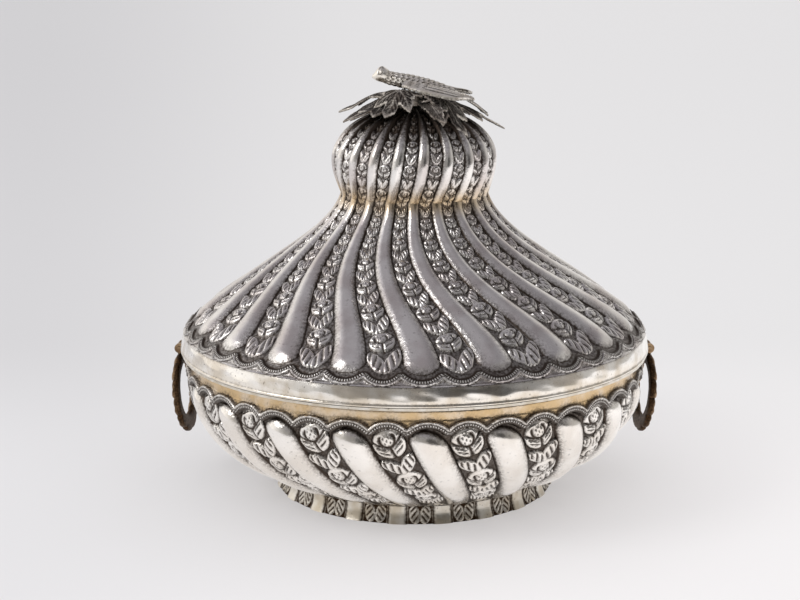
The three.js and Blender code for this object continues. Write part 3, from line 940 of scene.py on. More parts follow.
@dataclass
class ReliefShell:
    """A sheet shell with gadroons and floral bands, cut into gores at the gadroons' creases.

    narrow is the gadroons' width as a share of their room, and pad_share the height of the
    bands' pads as a share of the ground's depth. The columns of one gore come to a multiple
    of COARSE, as its rows do.
    """

    profile: Profile
    floral: FloralBand
    gadroon_columns: int
    band_columns: int
    row_mm: float
    gores: int
    sheet: float = 0.7
    narrow: float = 0.98
    pad_share: float = 0.66

    def phase(self, arc: np.ndarray) -> np.ndarray:
        """Angle of the first gadroon's middle from the front, in degrees."""
        raise NotImplementedError

    def relief(
        self, arc: np.ndarray, u: np.ndarray, repeat: np.ndarray, band: tuple[np.ndarray, np.ndarray]
    ) -> tuple[np.ndarray, Marks]:
        """Relief of the shell, worked out by each kind of shell.

        Args:
            arc: distance up the profile.
            u: place round the shell in repeats, whole at the gadroons' middles.
            repeat: width of one repeat in millimetres.
            band: height share and oxide of the floral bands.

        Returns:
            Height along the normal in millimetres, and marks.
        """
        raise NotImplementedError

    def gadroons(
        self, u: np.ndarray, end: np.ndarray | float, depth: np.ndarray, pad: np.ndarray
    ) -> tuple[np.ndarray, np.ndarray]:
        """Sets gadroons of capsule outline over the sunk ground, with the bands' pads between.

        Args:
            u: place round the shell in repeats, whole at the gadroons' middles.
            end: distance into a gadroon's round end, 1 at the end itself.
            depth: depth of the ground in millimetres.
            pad: height share of the bands' pads.

        Returns:
            Height in millimetres, and distance from the gadroon's middle line, 1 at its edge.
        """
        wrapped = np.mod(u + 0.5, 1.0) - 0.5
        reach = np.hypot(wrapped / (GADROON_SHARE * self.narrow), end)
        bands = -depth + self.pad_share * depth * np.clip(pad, -0.4, 1.0)
        return np.where(reach < 1.0, -depth * (1.0 - hump(reach)), bands), reach

    def columns(self, repeats: int) -> np.ndarray:
        """Spaces the columns: close together at the gadroons' creases, by a sine, and even between.

        Args:
            repeats: number of repeats side by side.

        Returns:
            The columns' places in repeats.
        """
        t = np.linspace(-1.0, 1.0, self.gadroon_columns + 1)[:-1]
        over = GADROON_SHARE * (0.35 * t + 0.65 * np.sin(t * math.pi / 2.0))
        gap = 1.0 - 2.0 * GADROON_SHARE
        between = GADROON_SHARE + gap * np.arange(self.band_columns) / self.band_columns
        one = np.concatenate([over, between])
        run = (one[None] + np.arange(repeats)[:, None]).reshape(-1)
        return np.append(run, repeats - GADROON_SHARE)

    def band_table(self) -> tuple[np.ndarray, np.ndarray, np.ndarray]:
        """Measures the bands: one that leans by b from the meridian is 1 / cos b longer and
        cos b narrower.

        Returns:
            Distance along the band, its half width and its lean, at each point of the profile.
        """
        arc = self.profile.arc
        radius = self.profile.points[:, 0]
        turn = np.gradient(np.radians(self.phase(arc)), arc)
        lean = np.arctan(radius * turn)
        step = np.diff(arc) / np.cos((lean[1:] + lean[:-1]) / 2.0)
        length = np.concatenate([[0.0], np.cumsum(step)])
        half = radius * math.radians(PITCH_DEG) * (0.5 - GADROON_SHARE) * np.cos(lean)
        return length, half, lean

    def build(self, stem: str) -> list[bpy.types.Object]:
        """Builds the gores.

        The outer wall is the relief. The inner wall is coarser, a sheet's thickness under the
        lowest point near each of its vertices, as the back of raised work is.

        Args:
            stem: start of the pieces' names.

        Returns:
            The gores' objects.
        """
        rows = COARSE * math.ceil(self.profile.length / self.row_mm / COARSE) + 1
        arc = np.linspace(0.0, self.profile.length, rows)[:, None]
        radius, height, nr, nz = self.profile.at(arc)
        length, half, lean = self.band_table()
        repeats = GADROONS // self.gores
        u = self.columns(repeats)[None]
        repeat = radius * math.radians(PITCH_DEG)
        from_band = (np.mod(u, 1.0) - 0.5) * repeat
        slope = np.interp(arc, self.profile.arc, lean)
        along = np.interp(arc, self.profile.arc, length) + from_band * np.sin(slope)
        pads = self.floral.relief(from_band * np.cos(slope), along, length, half)
        rise, marks = self.relief(arc, u, repeat, pads)
        low = self.lowest_near(rise) - self.sheet
        inner_radius = radius[::COARSE] + nr[::COARSE] * low
        inner_height = height[::COARSE] + nz[::COARSE] * low
        made = []
        for gore in range(self.gores):
            angle = np.radians((u + gore * repeats) * PITCH_DEG + self.phase(arc) - 90.0)
            piece = Piece(f"{stem}_{gore + 1}")
            outer = turn_profile(radius + nr * rise, height + nz * rise, angle)
            outside = piece.add_grid(outer, marks)
            inner = turn_profile(inner_radius, inner_height, angle[::COARSE, ::COARSE])
            inside = piece.add_grid(inner, Marks(0.35), flip=True)
            piece.faces.append(stitch(outside[0], inside[0], flip=True))
            piece.faces.append(stitch(outside[-1], inside[-1]))
            piece.faces.append(stitch(outside[:, 0], inside[:, 0]))
            piece.faces.append(stitch(outside[:, -1], inside[:, -1], flip=True))
            made.append(piece.build())
        return made

    @staticmethod
    def lowest_near(rise: np.ndarray) -> np.ndarray:
        """Lowest relief round each vertex of the inner wall, within one of its own squares.

        Args:
            rise: the relief on all rows and columns of the outer wall.

        Returns:
            The lowest values, on the inner wall's rows and columns.
        """
        padded = np.pad(rise, COARSE, mode="edge")
        square = (2 * COARSE + 1, 2 * COARSE + 1)
        windows = np.lib.stride_tricks.sliding_window_view(padded, square)
        return windows[::COARSE, ::COARSE].min(axis=(2, 3))


# Sub-assemblies


def hump(reach: np.ndarray) -> np.ndarray:
    """Cross-section of a gadroon: an arc 1 - reach^2 that drops steeply at its edge."""
    return 0.62 * (1.0 - np.clip(reach, 0.0, 1.0) ** 2) + 0.38 * dome(reach, 3.0)


def fringe(edge_mm: np.ndarray, near: float, far: float) -> np.ndarray:
    """Darkening along a gadroon's edge: a narrow bell of oxide in the chased line, on a wide bell of
    painted shade where the flank turns into the ground.
    """
    reach = np.clip(edge_mm, 0.0, None)
    return np.clip(bell(reach, near) + 0.55 * bell(reach, far), 0.0, 1.0)


@dataclass
class LidCone(ReliefShell):
    """The lid's slope: gadroons and bands that sweep up from the scalloped rim to the neck."""

    depth: float = 3.2
    lowest_end: float = 6.5
    cap: float = 7.6
    start_deg: float = 1.8
    twist_deg: float = -20.7
    scallops: Scallops = field(
        default_factory=lambda: Scallops(
            edge=0.5, sag=3.9, way=1, lip=1.1, row=1.9, groove=1.4, shade=1.0
        )
    )

    def phase(self, arc: np.ndarray) -> np.ndarray:
        """Gadroon phase: the twist grows smoothly from the rim to just under the neck."""
        share = np.asarray(arc) / self.profile.length
        return self.start_deg + self.twist_deg * smoothstep(share, 0.1, 0.93)

    def relief(
        self, arc: np.ndarray, u: np.ndarray, repeat: np.ndarray, band: tuple[np.ndarray, np.ndarray]
    ) -> tuple[np.ndarray, Marks]:
        """Gadroons as capsules with a round lower end, bands sunk between, scallops below.

        Args:
            arc: distance up the profile.
            u: place round the shell in repeats.
            repeat: width of one repeat in millimetres.
            band: height share and oxide of the floral bands.

        Returns:
            Height in millimetres, and marks.
        """
        share = arc / self.profile.length
        inside, along = self.scallops.distance(u, arc, repeat)
        limit = self.scallops.width
        beside = 1.0 - smoothstep(inside, limit, limit + 5.0)
        depth = self.depth * (1.0 - 0.4 * share) * (1.0 - 0.5 * beside)
        end = np.clip((self.lowest_end + self.cap - arc) / self.cap, 0.0, 2.0)
        pad, cut = band
        height, reach = self.gadroons(u, end, depth, pad)
        edge_mm = (1.0 - reach) * GADROON_SHARE * repeat
        # Width of the wide bell, the painted shade on the gadroon's flank
        flank_shade_mm = 0.4 + 0.3 * GADROON_SHARE * repeat
        oxide_and_shade = np.where(reach < 1.0, fringe(edge_mm, 0.6, flank_shade_mm), cut)
        border, marks = self.scallops.relief(inside, along)
        weight = smoothstep(inside, limit - 0.7, limit)
        height = border * (1 - weight) + height * weight
        marks = blend_marks(weight, marks, Marks(oxide_and_shade=oxide_and_shade))
        # Under and between the scallops, the sunk strip is painted darker towards the border: painted
        # shadow of the border
        strip = 1 - smoothstep(inside, -0.8, -0.1)
        height = height * (1 - strip) - self.scallops.depth * smoothstep(arc, 0.0, 2.0) * strip
        marks = blend_marks(strip, marks, Marks(oxide_and_shade=0.12 + 0.3 * smoothstep(arc, 0.4, 3.0)))
        top = smoothstep(share, 0.965, 1.0)
        marks.tarnish = 0.7 * smoothstep(share, 0.9, 1.0)
        return height * (1 - 0.35 * top), marks


@dataclass
class BowlWall(ReliefShell):
    """The bowl's wall and collar: gadroons under arches, tapering down to the foot."""

    depth: float = 4.0
    pad_share: float = 0.62
    wall_length: float = 0.0
    top_deg: float = 1.6
    twist_deg: float = 15.8
    arch_deg: float = 3.0
    gadroon_top: float = 4.7
    cap: float = 8.5
    arcade: Scallops = field(
        default_factory=lambda: Scallops(
            edge=0.0, sag=3.8, way=-1, lip=1.1, row=1.9, groove=1.0, shade=0.95, bead_width=0.72
        )
    )

    def phase(self, arc: np.ndarray) -> np.ndarray:
        """Gadroon phase: the pattern turns steadily from the collar to the foot."""
        rest = 1.0 - np.clip(np.asarray(arc) / self.wall_length, 0.0, 1.0)
        return self.top_deg + self.twist_deg * rest

    def relief(
        self, arc: np.ndarray, u: np.ndarray, repeat: np.ndarray, band: tuple[np.ndarray, np.ndarray]
    ) -> tuple[np.ndarray, Marks]:
        """Gadroons with a round top under the arcade, bands between, a plain collar above.

        The arcade stands upright, with its own phase, over the leaning gadroons.

        Args:
            arc: distance up the profile.
            u: place round the shell in repeats.
            repeat: width of one repeat in millimetres.
            band: height share and oxide of the floral bands.

        Returns:
            Height in millimetres, and marks.
        """
        share = arc / self.wall_length
        depth = self.depth * smoothstep(share, -0.02, 0.2)
        end = np.clip((arc - (self.arcade.edge - self.gadroon_top - self.cap)) / self.cap, 0.0, 2.0)
        pad, cut = band
        height, reach = self.gadroons(u, end, depth, pad)
        edge_mm = (1.0 - reach) * GADROON_SHARE * repeat
        # Gadroon edges: oxide in the chased line, with painted shade on the flank
        oxide_and_shade = np.where(reach < 1.0, fringe(edge_mm, 1.0, 2.4), np.minimum(1.16 * cut, 1.0))
        to_arch = (self.phase(arc) - self.arch_deg) / PITCH_DEG
        inside, along = self.arcade.distance(u + to_arch, arc, repeat)
        border, marks = self.arcade.relief(inside, along)
        limit = self.arcade.width
        weight = smoothstep(inside, limit - 0.7, limit)
        height = (border * 0.8 + 0.3) * (1 - weight) + height * weight
        marks = blend_marks(weight, marks, Marks(oxide_and_shade=oxide_and_shade))
        collar = 1 - smoothstep(inside, -0.7, 0.1)
        back = -1.7 * (1 - smoothstep(arc - self.arcade.edge, 0.0, 5.2))
        height = height * (1 - collar) + back * collar
        # The collar is painted darker next to the arches, in two bells of the distance from them:
        # painted shade beside the raised arcade. Its yellow tarnish is its own.
        away = np.clip(-inside, 0.0, None)
        stain = 0.7 * bell(away, 1.1) + 0.32 * bell(away, 2.8)
        return height, blend_marks(collar, marks, Marks(oxide_and_shade=stain, tarnish=0.85))


@dataclass
class KnopShell(ReliefShell):
    """The melon knop: flutes and narrow floral bands that close over the top."""

    depth: float = 2.4
    narrow: float = 0.97
    start_deg: float = -18.9
    twist_deg: float = 10.0
    twist_share: float = 0.24

    def phase(self, arc: np.ndarray) -> np.ndarray:
        """Flute phase, carried on from the lid's neck: a twist that dies out as exp(-share)."""
        share = np.asarray(arc) / self.profile.length
        return self.start_deg + self.twist_deg * (1.0 - np.exp(-share / self.twist_share))

    def relief(
        self, arc: np.ndarray, u: np.ndarray, repeat: np.ndarray, band: tuple[np.ndarray, np.ndarray]
    ) -> tuple[np.ndarray, Marks]:
        """Half-round flutes with a sunk band between them, both dying out near the stem.

        Args:
            arc: distance up the profile.
            u: place round the shell in repeats.
            repeat: width of one repeat in millimetres.
            band: height share and oxide of the floral bands.

        Returns:
            Height in millimetres, and marks.
        """
        share = arc / self.profile.length
        fade = 1.0 - smoothstep(share, 0.78, 0.95)
        depth = self.depth * fade * (0.45 + 0.55 * smoothstep(arc, 0.0, 3.5))
        pad, cut = band
        height, reach = self.gadroons(u, 0.0, depth, pad)
        edge_mm = (1.0 - reach) * GADROON_SHARE * repeat
        # Flute edges: oxide in the chased line, with painted shade on the flank
        oxide_and_shade = np.where(reach < 1.0, fringe(edge_mm, 0.5, 1.2), cut)
        height = height - 0.2 * bell(arc, 0.5)
        # The knop's top, under the finial's leaves, is painted dark: painted shadow of the leaves
        crown = smoothstep(share, 0.36, 0.6)
        oxide_and_shade = oxide_and_shade * (0.4 + 0.6 * fade) + 0.12 * bell(arc, 0.5) + 0.85 * crown
        return height, Marks(np.clip(oxide_and_shade, 0.0, 1.0), tarnish=0.8 * bell(arc, 7.0))


@dataclass
class Lid:
    """Lid: plain rim band, chased cone and melon knop."""

    edge_radius: float = BAND_HIGH[0]
    edge_height: float = BAND_LOW[2]
    band_top: float = BAND_HIGH[2]
    band_wall: float = 1.4
    band_lean: float = 1.5
    lip_height: float = 1.6
    lip_reach: float = 0.35
    neck_radius: float = 37.4
    neck_height: float = KNOP_LOW[2]
    knop_radius: float = KNOP_HIGH[0]
    knop_top: float = KNOP_HIGH[2]
    knop_waist: float = 17.0
    flute_proud: float = 0.3
    stem_hole: float = 1.9
    shoulder_pull: tuple[float, float] = (7.6, 16.7)
    neck_pull: tuple[float, float] = (5.2, 23.4)
    seam: float = 0.3

    def cone(self) -> None:
        """Builds the chased cone from the band to the neck."""
        foot = (self.edge_radius - self.band_lean, self.band_top + self.seam)
        neck = (self.neck_radius, self.neck_height + self.seam)
        above = (foot[0] - self.shoulder_pull[0], foot[1] + self.shoulder_pull[1])
        below = (neck[0] + self.neck_pull[0], neck[1] - self.neck_pull[1])
        line = bezier([foot, above, below, neck], steps=400)
        floral = FloralBand(
            first=14.3,
            first_is_pair=True,
            step_base=1.3,
            step_share=1.3,
            pair_stand_deg=66.0,
            radius_share=1.02,
            widest_radius=6.5,
        )
        cone = LidCone(
            Profile(line), floral, gadroon_columns=22, band_columns=56, row_mm=0.54, gores=5
        )
        for gore in cone.build("lid_cone_gore"):
            settle(gore, CHASED_SILVER, Body.LID, Slot.CHASED, "lid_cone")

    def knop(self) -> None:
        """Builds the knop: a quarter sine from the neck to its widest ring, then an ellipse."""
        widest = self.neck_height + self.knop_waist
        rise = self.knop_top - widest
        wide = self.knop_radius + self.flute_proud
        q = np.linspace(0.0, 1.0, 160)
        low_r = self.neck_radius + (wide - self.neck_radius) * np.sin(q * math.pi / 2)
        lap = self.seam * 3.0 * (1 - q) ** 8
        low = np.stack([low_r, self.neck_height - lap + self.knop_waist * q], axis=1)
        close = np.linspace(math.pi / 2, math.asin(self.stem_hole / wide), 240)[1:]
        high = np.stack([wide * np.sin(close), widest + rise * np.cos(close)], axis=1)
        floral = FloralBand(
            first=4.2,
            first_is_pair=False,
            step_base=2.0,
            step_share=1.62,
            pair_stand_deg=66.0,
            radius_share=1.16,
            flatten=1.1,
            pair_rise=1.14,
            bold=True,
        )
        profile = Profile(np.concatenate([low, high]))
        knop = KnopShell(
            profile, floral, gadroon_columns=16, band_columns=28, row_mm=0.5, gores=2
        )
        for gore in knop.build("lid_knop_half"):
            settle(gore, CHASED_SILVER, Body.LID, Slot.CHASED, "lid_knop")

    def rim_band(self) -> None:
        """Builds the plain band: upright at its lip, then bowed in towards its top.

        The radius is the edge's less lean x ((z - lip) / rest)^2, with a small lip below, and
        slow sums of sines along the turn give the uneven wall of hand-beaten sheet.
        """
        angle = np.linspace(0.0, TURN, 720, endpoint=False)[None]
        z = np.linspace(self.edge_height + 0.2, self.band_top, 30)[:, None]
        rise = z - self.edge_height
        over_lip = rise - self.lip_height
        t = np.clip(over_lip / (self.band_top - self.edge_height - self.lip_height), 0.0, 1.0)
        uneven = 0.1 * np.sin(9 * angle + 0.4 * z) + 0.08 * np.sin(23 * angle - 0.7 * z + 1.0)
        uneven = uneven + 0.05 * np.sin(41 * angle + 1.1 * z)
        radius = self.edge_radius - self.lip_reach - self.band_lean * t**2
        radius = radius + self.lip_reach * bell(rise - 0.7, 0.5)
        radius = radius - 0.14 * bell(over_lip, 0.45) + uneven * np.clip(t * (1 - t) * 4, 0, 1)
        piece = Piece("lid_rim_band_sheet")
        spots = 0.3 * bell(over_lip, 0.5) + 0.35 * bell(rise - 9.0, 0.5)
        cream = 0.28 * smoothstep(-rise, -6.5, -2.0)
        marks = Marks(spots, tarnish=cream)
        outer = piece.add_grid(turn_profile(radius, z, angle), marks, closed=True)
        inner_r = radius[[-1, 0]] - self.band_wall + np.array([[0.35], [0.0]])
        inner = piece.add_grid(turn_profile(inner_r, z[[-1, 0]], angle), Marks(0.3), closed=True)
        piece.add_band(outer[-1], inner[0])
        piece.add_band(inner[-1], outer[0])
        settle(piece.build(), BURNISHED_SILVER, Body.LID, Slot.POLISHED, "lid_rim_band")

    def build(self) -> None:
        """Builds the lid's pieces."""
        self.rim_band()
        self.cone()
        self.knop()


@dataclass
class Bowl:
    """Bowl: collar and chased wall, bottom, and foot ring."""

    mouth_radius: float = 114.6
    mouth_height: float = BOWL_HIGH[2]
    shoulder_radius: float = BOWL_HIGH[0]
    shoulder_height: float = 62.0
    arch_top: float = 66.0
    arch_lean: float = 0.5
    joint_radius: float = 70.2
    flank_pull: tuple[float, float] = (25.9, 8.2)
    belly_pull: tuple[float, float] = (2.5, 26.0)
    foot_height: float = 8.8
    foot_spread: float = 2.0
    foot_wall: float = 2.0
    foot_phase_deg: float = 11.2
    panel_share: float = 0.27
    panel_depth: float = 0.8
    panel_leaf_rise: float = 0.75
    panel_columns: int = 44
    bottom_sag: float = 3.6
    bottom_sheet: float = 1.0
    first_medallion: float = 12.0

    def wall(self) -> None:
        """Builds wall and collar as one relief shell."""
        joint = (self.joint_radius, self.foot_height)
        shoulder = (self.shoulder_radius, self.shoulder_height)
        flank = (joint[0] + self.flank_pull[0], joint[1] + self.flank_pull[1])
        belly = (shoulder[0] + self.belly_pull[0], shoulder[1] - self.belly_pull[1])
        line = bezier([joint, flank, belly, shoulder], steps=300)
        share = np.linspace(0.0, 1.0, 24)[1:, None]
        arch = share * [-self.arch_lean, self.arch_top - shoulder[1]] + shoulder
        back = [self.mouth_radius - arch[-1, 0], self.mouth_height - self.arch_top]
        profile = Profile(np.concatenate([line, arch, share * back + arch[-1]]))
        edge = float(np.interp(self.arch_top, profile.points[:, 1], profile.arc))
        floral = FloralBand(
            first=edge,
            first_is_pair=False,
            step_base=2.0,
            step_share=1.42,
            pair_stand_deg=60.0,
            way=-1,
            flatten=1.06,
            pair_rise=0.8,
        )
        wall = BowlWall(
            profile, floral, gadroon_columns=22, band_columns=54, row_mm=0.54, gores=4
        )
        wall.wall_length = Profile(line).length
        wall.arcade.edge = edge
        first = edge - self.first_medallion
        floral.first = float(np.interp(first, profile.arc, wall.band_table()[0]))
        for gore in wall.build("bowl_wall_gore"):
            settle(gore, CHASED_SILVER_PAINTED_BRIGHT, Body.BOWL, Slot.CHASED, "bowl_shell")

    def bottom(self) -> None:
        """Builds the sagging bottom: z = joint - sag x (1 - (r / joint radius)^2)."""
        angle = np.linspace(0.0, TURN, 180, endpoint=False)[None]
        r = np.linspace(3.0, self.joint_radius, 30)[:, None]
        z = self.foot_height - self.bottom_sag * (1 - (r / self.joint_radius) ** 2)
        piece = Piece("bowl_bottom")
        under = piece.add_grid(turn_profile(r, z, angle), Marks(0.4), closed=True, flip=True)
        inside = turn_profile(r, z + self.bottom_sheet, angle)
        over = piece.add_grid(inside, Marks(0.3), closed=True)
        piece.add_band(under[-1], over[-1])
        low = self.foot_height - self.bottom_sag
        piece.add_fan(under[0], np.array([0.0, 0.0, low]), Marks(0.4), flip=True)
        piece.add_fan(over[0], np.array([0.0, 0.0, low + self.bottom_sheet]), Marks(0.3))
        settle(piece.build(), TARNISHED_SILVER, Body.BOWL, Slot.CHASED, "bowl_shell")

    def foot(self) -> None:
        """Builds the foot ring: plain panels, and panels of two upright leaves."""
        u = (np.arange(GADROONS * self.panel_columns) / self.panel_columns)[None]
        z = np.linspace(0.0, self.foot_height - 0.3, 33)[:, None]
        t = z / self.foot_height
        radius = self.joint_radius + self.foot_spread * (1 - t) ** 1.6 - 0.5 * np.sin(math.pi * t)
        repeat = radius * math.radians(PITCH_DEG)
        half = self.panel_share * repeat
        x = (np.mod(u, 1.0) - 0.5) * repeat / half
        pair, cut = leaf_pair(x * 0.98, (t - 0.5) / 0.49, 84.0, 0.44, False)
        panel = 1 - smoothstep(np.abs(x), 0.96, 1.08)
        frame_line = bell((np.abs(x) - 1.1) * half, 0.75)
        height = -self.panel_depth * panel + self.panel_leaf_rise * panel * np.clip(pair, 0.0, 1.0)
        height = height - 0.4 * frame_line
        oxide_and_shade = np.maximum(panel * (0.2 + 1.1 * cut), frame_line)
        angle = np.radians(u * PITCH_DEG + self.foot_phase_deg - 90.0)
        piece = Piece("foot_ring_chased")
        marks = Marks(np.clip(oxide_and_shade, 0.0, 1.0), tarnish=0.25 * panel * cut)
        outer = piece.add_grid(turn_profile(radius + height, z, angle), marks, closed=True)
        inner_r = np.array([[self.joint_radius], [self.joint_radius + self.foot_spread]])
        inner = piece.add_grid(
            turn_profile(inner_r - self.foot_wall - 0.6, z[[-1, 0]], angle), Marks(0.5), closed=True
        )
        piece.add_band(outer[-1], inner[0])
        piece.add_band(inner[-1], outer[0])
        settle(piece.build(), TARNISHED_SILVER, Body.BOWL, Slot.TARNISHED, "foot_ring")

    def build(self) -> None:
        """Builds the bowl's pieces."""
        self.wall()
        self.bottom()
        self.foot()


@dataclass(frozen=True)
class Leaf:
    """One leaf of the finial: bearing from +X, tier, and its shares of the common sizes.

    lift is what its arch stands higher and its tip falls lower than the plain plate's, in mm.
    """

    bearing: float
    tier: int
    reach: float
    half: float
    rise: float
    fall: float
    lift: float = 0.0
    lobed: bool = True


# Bearing and tier, then reach, half width, rise and fall as shares of the common sizes
LEAVES = (
    Leaf(171, 2, 1.03, 0.9, 1.25, 0.93),
    Leaf(190, 1, 0.96, 0.83, 1.0, 1.07),
    Leaf(237, 2, 0.71, 1.43, 1.17, 0.51, lift=2.6),
    Leaf(213, 0, 1.0, 0.93, 0.42, 0.62),
    Leaf(309, 2, 0.68, 0.9, 1.25, 0.29, lift=2.6, lobed=False),
    Leaf(293, 0, 1.0, 0.66, 0.42, 0.49, lift=1.6, lobed=False),
    Leaf(318, 1, 0.93, 1.25, 0.75, 1.28, lift=3.4),
    Leaf(356, 0, 1.2, 0.93, 1.0, 1.28),
    Leaf(38, 1, 0.97, 1.13, 0.92, 1.0),
    Leaf(82, 0, 0.95, 1.27, 0.83, 0.89),
    Leaf(130, 0, 1.0, 1.07, 0.92, 0.94),
)


def thin_plate(
    piece: Piece,
    upper: np.ndarray,
    marks: Marks,
    thickness: float,
    closed: bool = False,
    flip: bool = False,
) -> tuple[np.ndarray, np.ndarray]:
    """Adds a thin plate: an upper grid, and a lower one the thickness under it.

    Args:
        piece: the piece that takes the plate.
        upper: rows x columns x 3.
        marks: marks of the upper side.
        thickness: thickness in millimetres.
        closed: the columns run all the way round.
        flip: turns both sides over, for columns that run the other way.

    Returns:
        Vertex numbers of the upper and the lower grid.
    """
    lower = upper.copy()
    lower[..., 2] -= thickness
    top = piece.add_grid(upper, marks, closed=closed, flip=flip)
    under = piece.add_grid(lower, Marks(0.6), closed=closed, flip=not flip)
    return top, under


# Sections of the bird: share of its length, then half width, half height and lift as shares
BIRD_SECTIONS = (
    (0.0, 0.1, 0.14, -0.5),
    (0.02, 0.36, 0.42, -0.36),
    (0.04, 0.74, 0.84, -0.02),
    (0.08, 0.86, 1.06, 0.1),
    (0.125, 0.8, 1.0, 0.06),
    (0.18, 0.66, 0.8, -0.16),
    (0.3, 0.86, 0.86, -0.1),
    (0.44, 1.0, 0.96, -0.04),
    (0.62, 1.0, 0.94, 0.0),
    (0.8, 0.76, 0.68, 0.08),
    (0.92, 0.46, 0.36, 0.12),
    (1.0, 0.05, 0.05, 0.14),
)
# Lobes of a leaf: direction from the tip in radians, reach as a share, width in radians
OVAL_LOBES = ((0.0, 1.0, 0.55),)
VINE_LOBES = (
    (0.0, 1.0, 0.52),
    (0.9, 0.86, 0.46),
    (-0.9, 0.86, 0.46),
    (1.9, 0.76, 0.52),
    (-1.9, 0.76, 0.52),
)


@dataclass
class Finial:
    """Cast bird on a boss, over three tiers of cut vine leaves."""

    boss_foot: float = KNOP_HIGH[2] + 0.3
    boss_top: float = STEM_HIGH[2]
    boss_radius: float = 4.0
    first_tier: float = 1.1
    tier_step: float = 1.8
    leaf_reach: float = 36.8
    leaf_half: float = 6.0
    leaf_rise: float = 2.4
    leaf_fall: float = 9.0
    leaf_thickness: float = 0.8
    length: float = 44.5
    half_width: float = 4.6
    half_height: float = 3.8
    slope_deg: float = 14.0
    forward: float = 21.3
    feather_mm: float = 2.6
    eye_place: float = 3.6
    plate: float = 1.0
    tail_root: float = 0.86
    tail_length: float = 22.5
    tail_half: float = 1.9
    tail_spread: float = 3.2
    tail_fork: float = 4.0
    tail_fall: float = 6.0
    tail_feathers: int = 7
    wing_length: float = 37.0
    wing_half: float = 4.6
    wing_droop: float = 0.3
    wing_root: float = 0.36
    wing_splay_deg: float = 13.0
    wing_seat: float = 1.3
    wing_arch: float = 1.2
    wing_feathers: int = 5
    wing_scales: float = 9.0
    gap: float = 0.3

    def leaf_outline(self, leaf: Leaf, theta: np.ndarray, length: float, stalk: float) -> np.ndarray:
        """Distance from the leaf's hub to its edge by direction, in millimetres.

        A vine leaf is the union of five pointed lobes, each falling off as
        exp(-|angle / width|^2.6), and an oval leaf is a circle with one pointed lobe. A
        saw-tooth runs along both, and a narrow lobe that points back is the stalk.

        Args:
            leaf: the leaf.
            theta: directions from the leaf's tip, in radians.
            length: distance from hub to tip.
            stalk: distance from hub to stalk end.

        Returns:
            The distances.
        """
        edge = np.full(theta.shape, 0.58 if leaf.lobed else 0.7)
        for way, reach, wide in VINE_LOBES if leaf.lobed else OVAL_LOBES:
            edge = np.maximum(edge, reach * np.exp(-((np.abs(theta - way) / wide) ** 2.6)))
        teeth = np.abs(np.mod(theta * 3.4, 1.0) - 0.5)
        edge = edge * (1.0 + 0.2 * (teeth - 0.25)) * length
        back = np.abs(np.abs(theta) - math.pi)
        return np.where(back < 0.14, np.maximum(stalk * (1 - (back / 0.14) ** 4), edge * 0.5), edge)

    def leaf(self, number: int, leaf: Leaf) -> None:
        """Builds one leaf: its outline filled by rings, veined, and bent over the knop.

        The middle line arches up near the boss and falls with the square of the reach.

        Args:
            number: the leaf's number, from 1.
            leaf: the leaf.
        """
        start = self.boss_radius + self.gap
        length = leaf.reach * self.leaf_reach - start
        hub = (0.42 if leaf.lobed else 0.52) * length
        theta = np.linspace(-math.pi, math.pi, 180, endpoint=False)[None]
        edge = self.leaf_outline(leaf, theta, length - hub, hub)
        share = (np.linspace(0.015, 1.0, 22) ** 0.9)[:, None]
        squeeze = leaf.half * self.leaf_half * (1.4 if leaf.lobed else 1.25) / (0.76 * (length - hub))
        x = hub + share * edge * np.cos(theta)
        y = share * edge * np.sin(theta) * squeeze
        ways = np.array([0.0, 0.9, -0.9, 1.85, -1.85] if leaf.lobed else [0.0])
        apart = theta[..., None] - ways
        nearest = np.abs(apart).argmin(axis=-1)
        away = np.take_along_axis(apart, nearest[..., None], axis=-1)[..., 0]
        from_vein = np.abs(share * edge * np.sin(away))
        on_vein = share * edge * np.cos(away)
        vein = bell(from_vein, 0.5) * (1 - 0.5 * share)
        ribs = 0.5 + 0.5 * np.cos(TURN * (on_vein - 1.1 * from_vein) / 2.1)
        ribs = ribs**2 * smoothstep(from_vein, 0.3, 0.9)
        t = x / length
        peak = 0.8 * leaf.rise * self.leaf_rise + leaf.lift
        arch = peak * np.sin(math.pi * np.clip(t * 1.25, 0.0, 1.0))
        fall = leaf.fall * self.leaf_fall + leaf.lift
        bend = arch - fall * t**2 - 0.12 * y**2 / self.leaf_half
        wave = 0.5 * share**2 * np.cos(theta * 5.0 + number)
        seat = self.boss_foot + self.first_tier + leaf.tier * self.tier_step
        z = bend + wave + 0.4 * vein + 0.3 * ribs + seat
        turn = math.radians(leaf.bearing)
        reach = start + x
        px = reach * math.cos(turn) - y * math.sin(turn)
        py = reach * math.sin(turn) + y * math.cos(turn)
        upper = np.stack([px, py, z], axis=-1)
        # Pale outer edges of the leaf: rubbed, and painted highlight
        rubbed_and_highlit = smoothstep(share, 0.86, 0.99)
        face = 1.0 if leaf.lobed else 0.84
        oxide_and_shade = np.clip(face - 0.65 * vein - 0.3 * ribs - 0.85 * rubbed_and_highlit, 0.0, 1.0)
        piece = Piece(f"vine_leaf_{number}_cut")
        top, under = thin_plate(piece, upper, Marks(oxide_and_shade), self.leaf_thickness, closed=True)
        piece.add_band(under[-1], top[-1])
        for ring, sink, flip in ((top[0], 0.0, True), (under[0], self.leaf_thickness, False)):
            middle = upper[0].mean(axis=0) - [0.0, 0.0, sink]
            piece.add_fan(ring, middle, Marks(0.5), flip=not flip)
        settle(piece.build(sharp_deg=40.0), CAST_SILVER, Body.LID, Slot.CAST, f"vine_leaf_{number}")

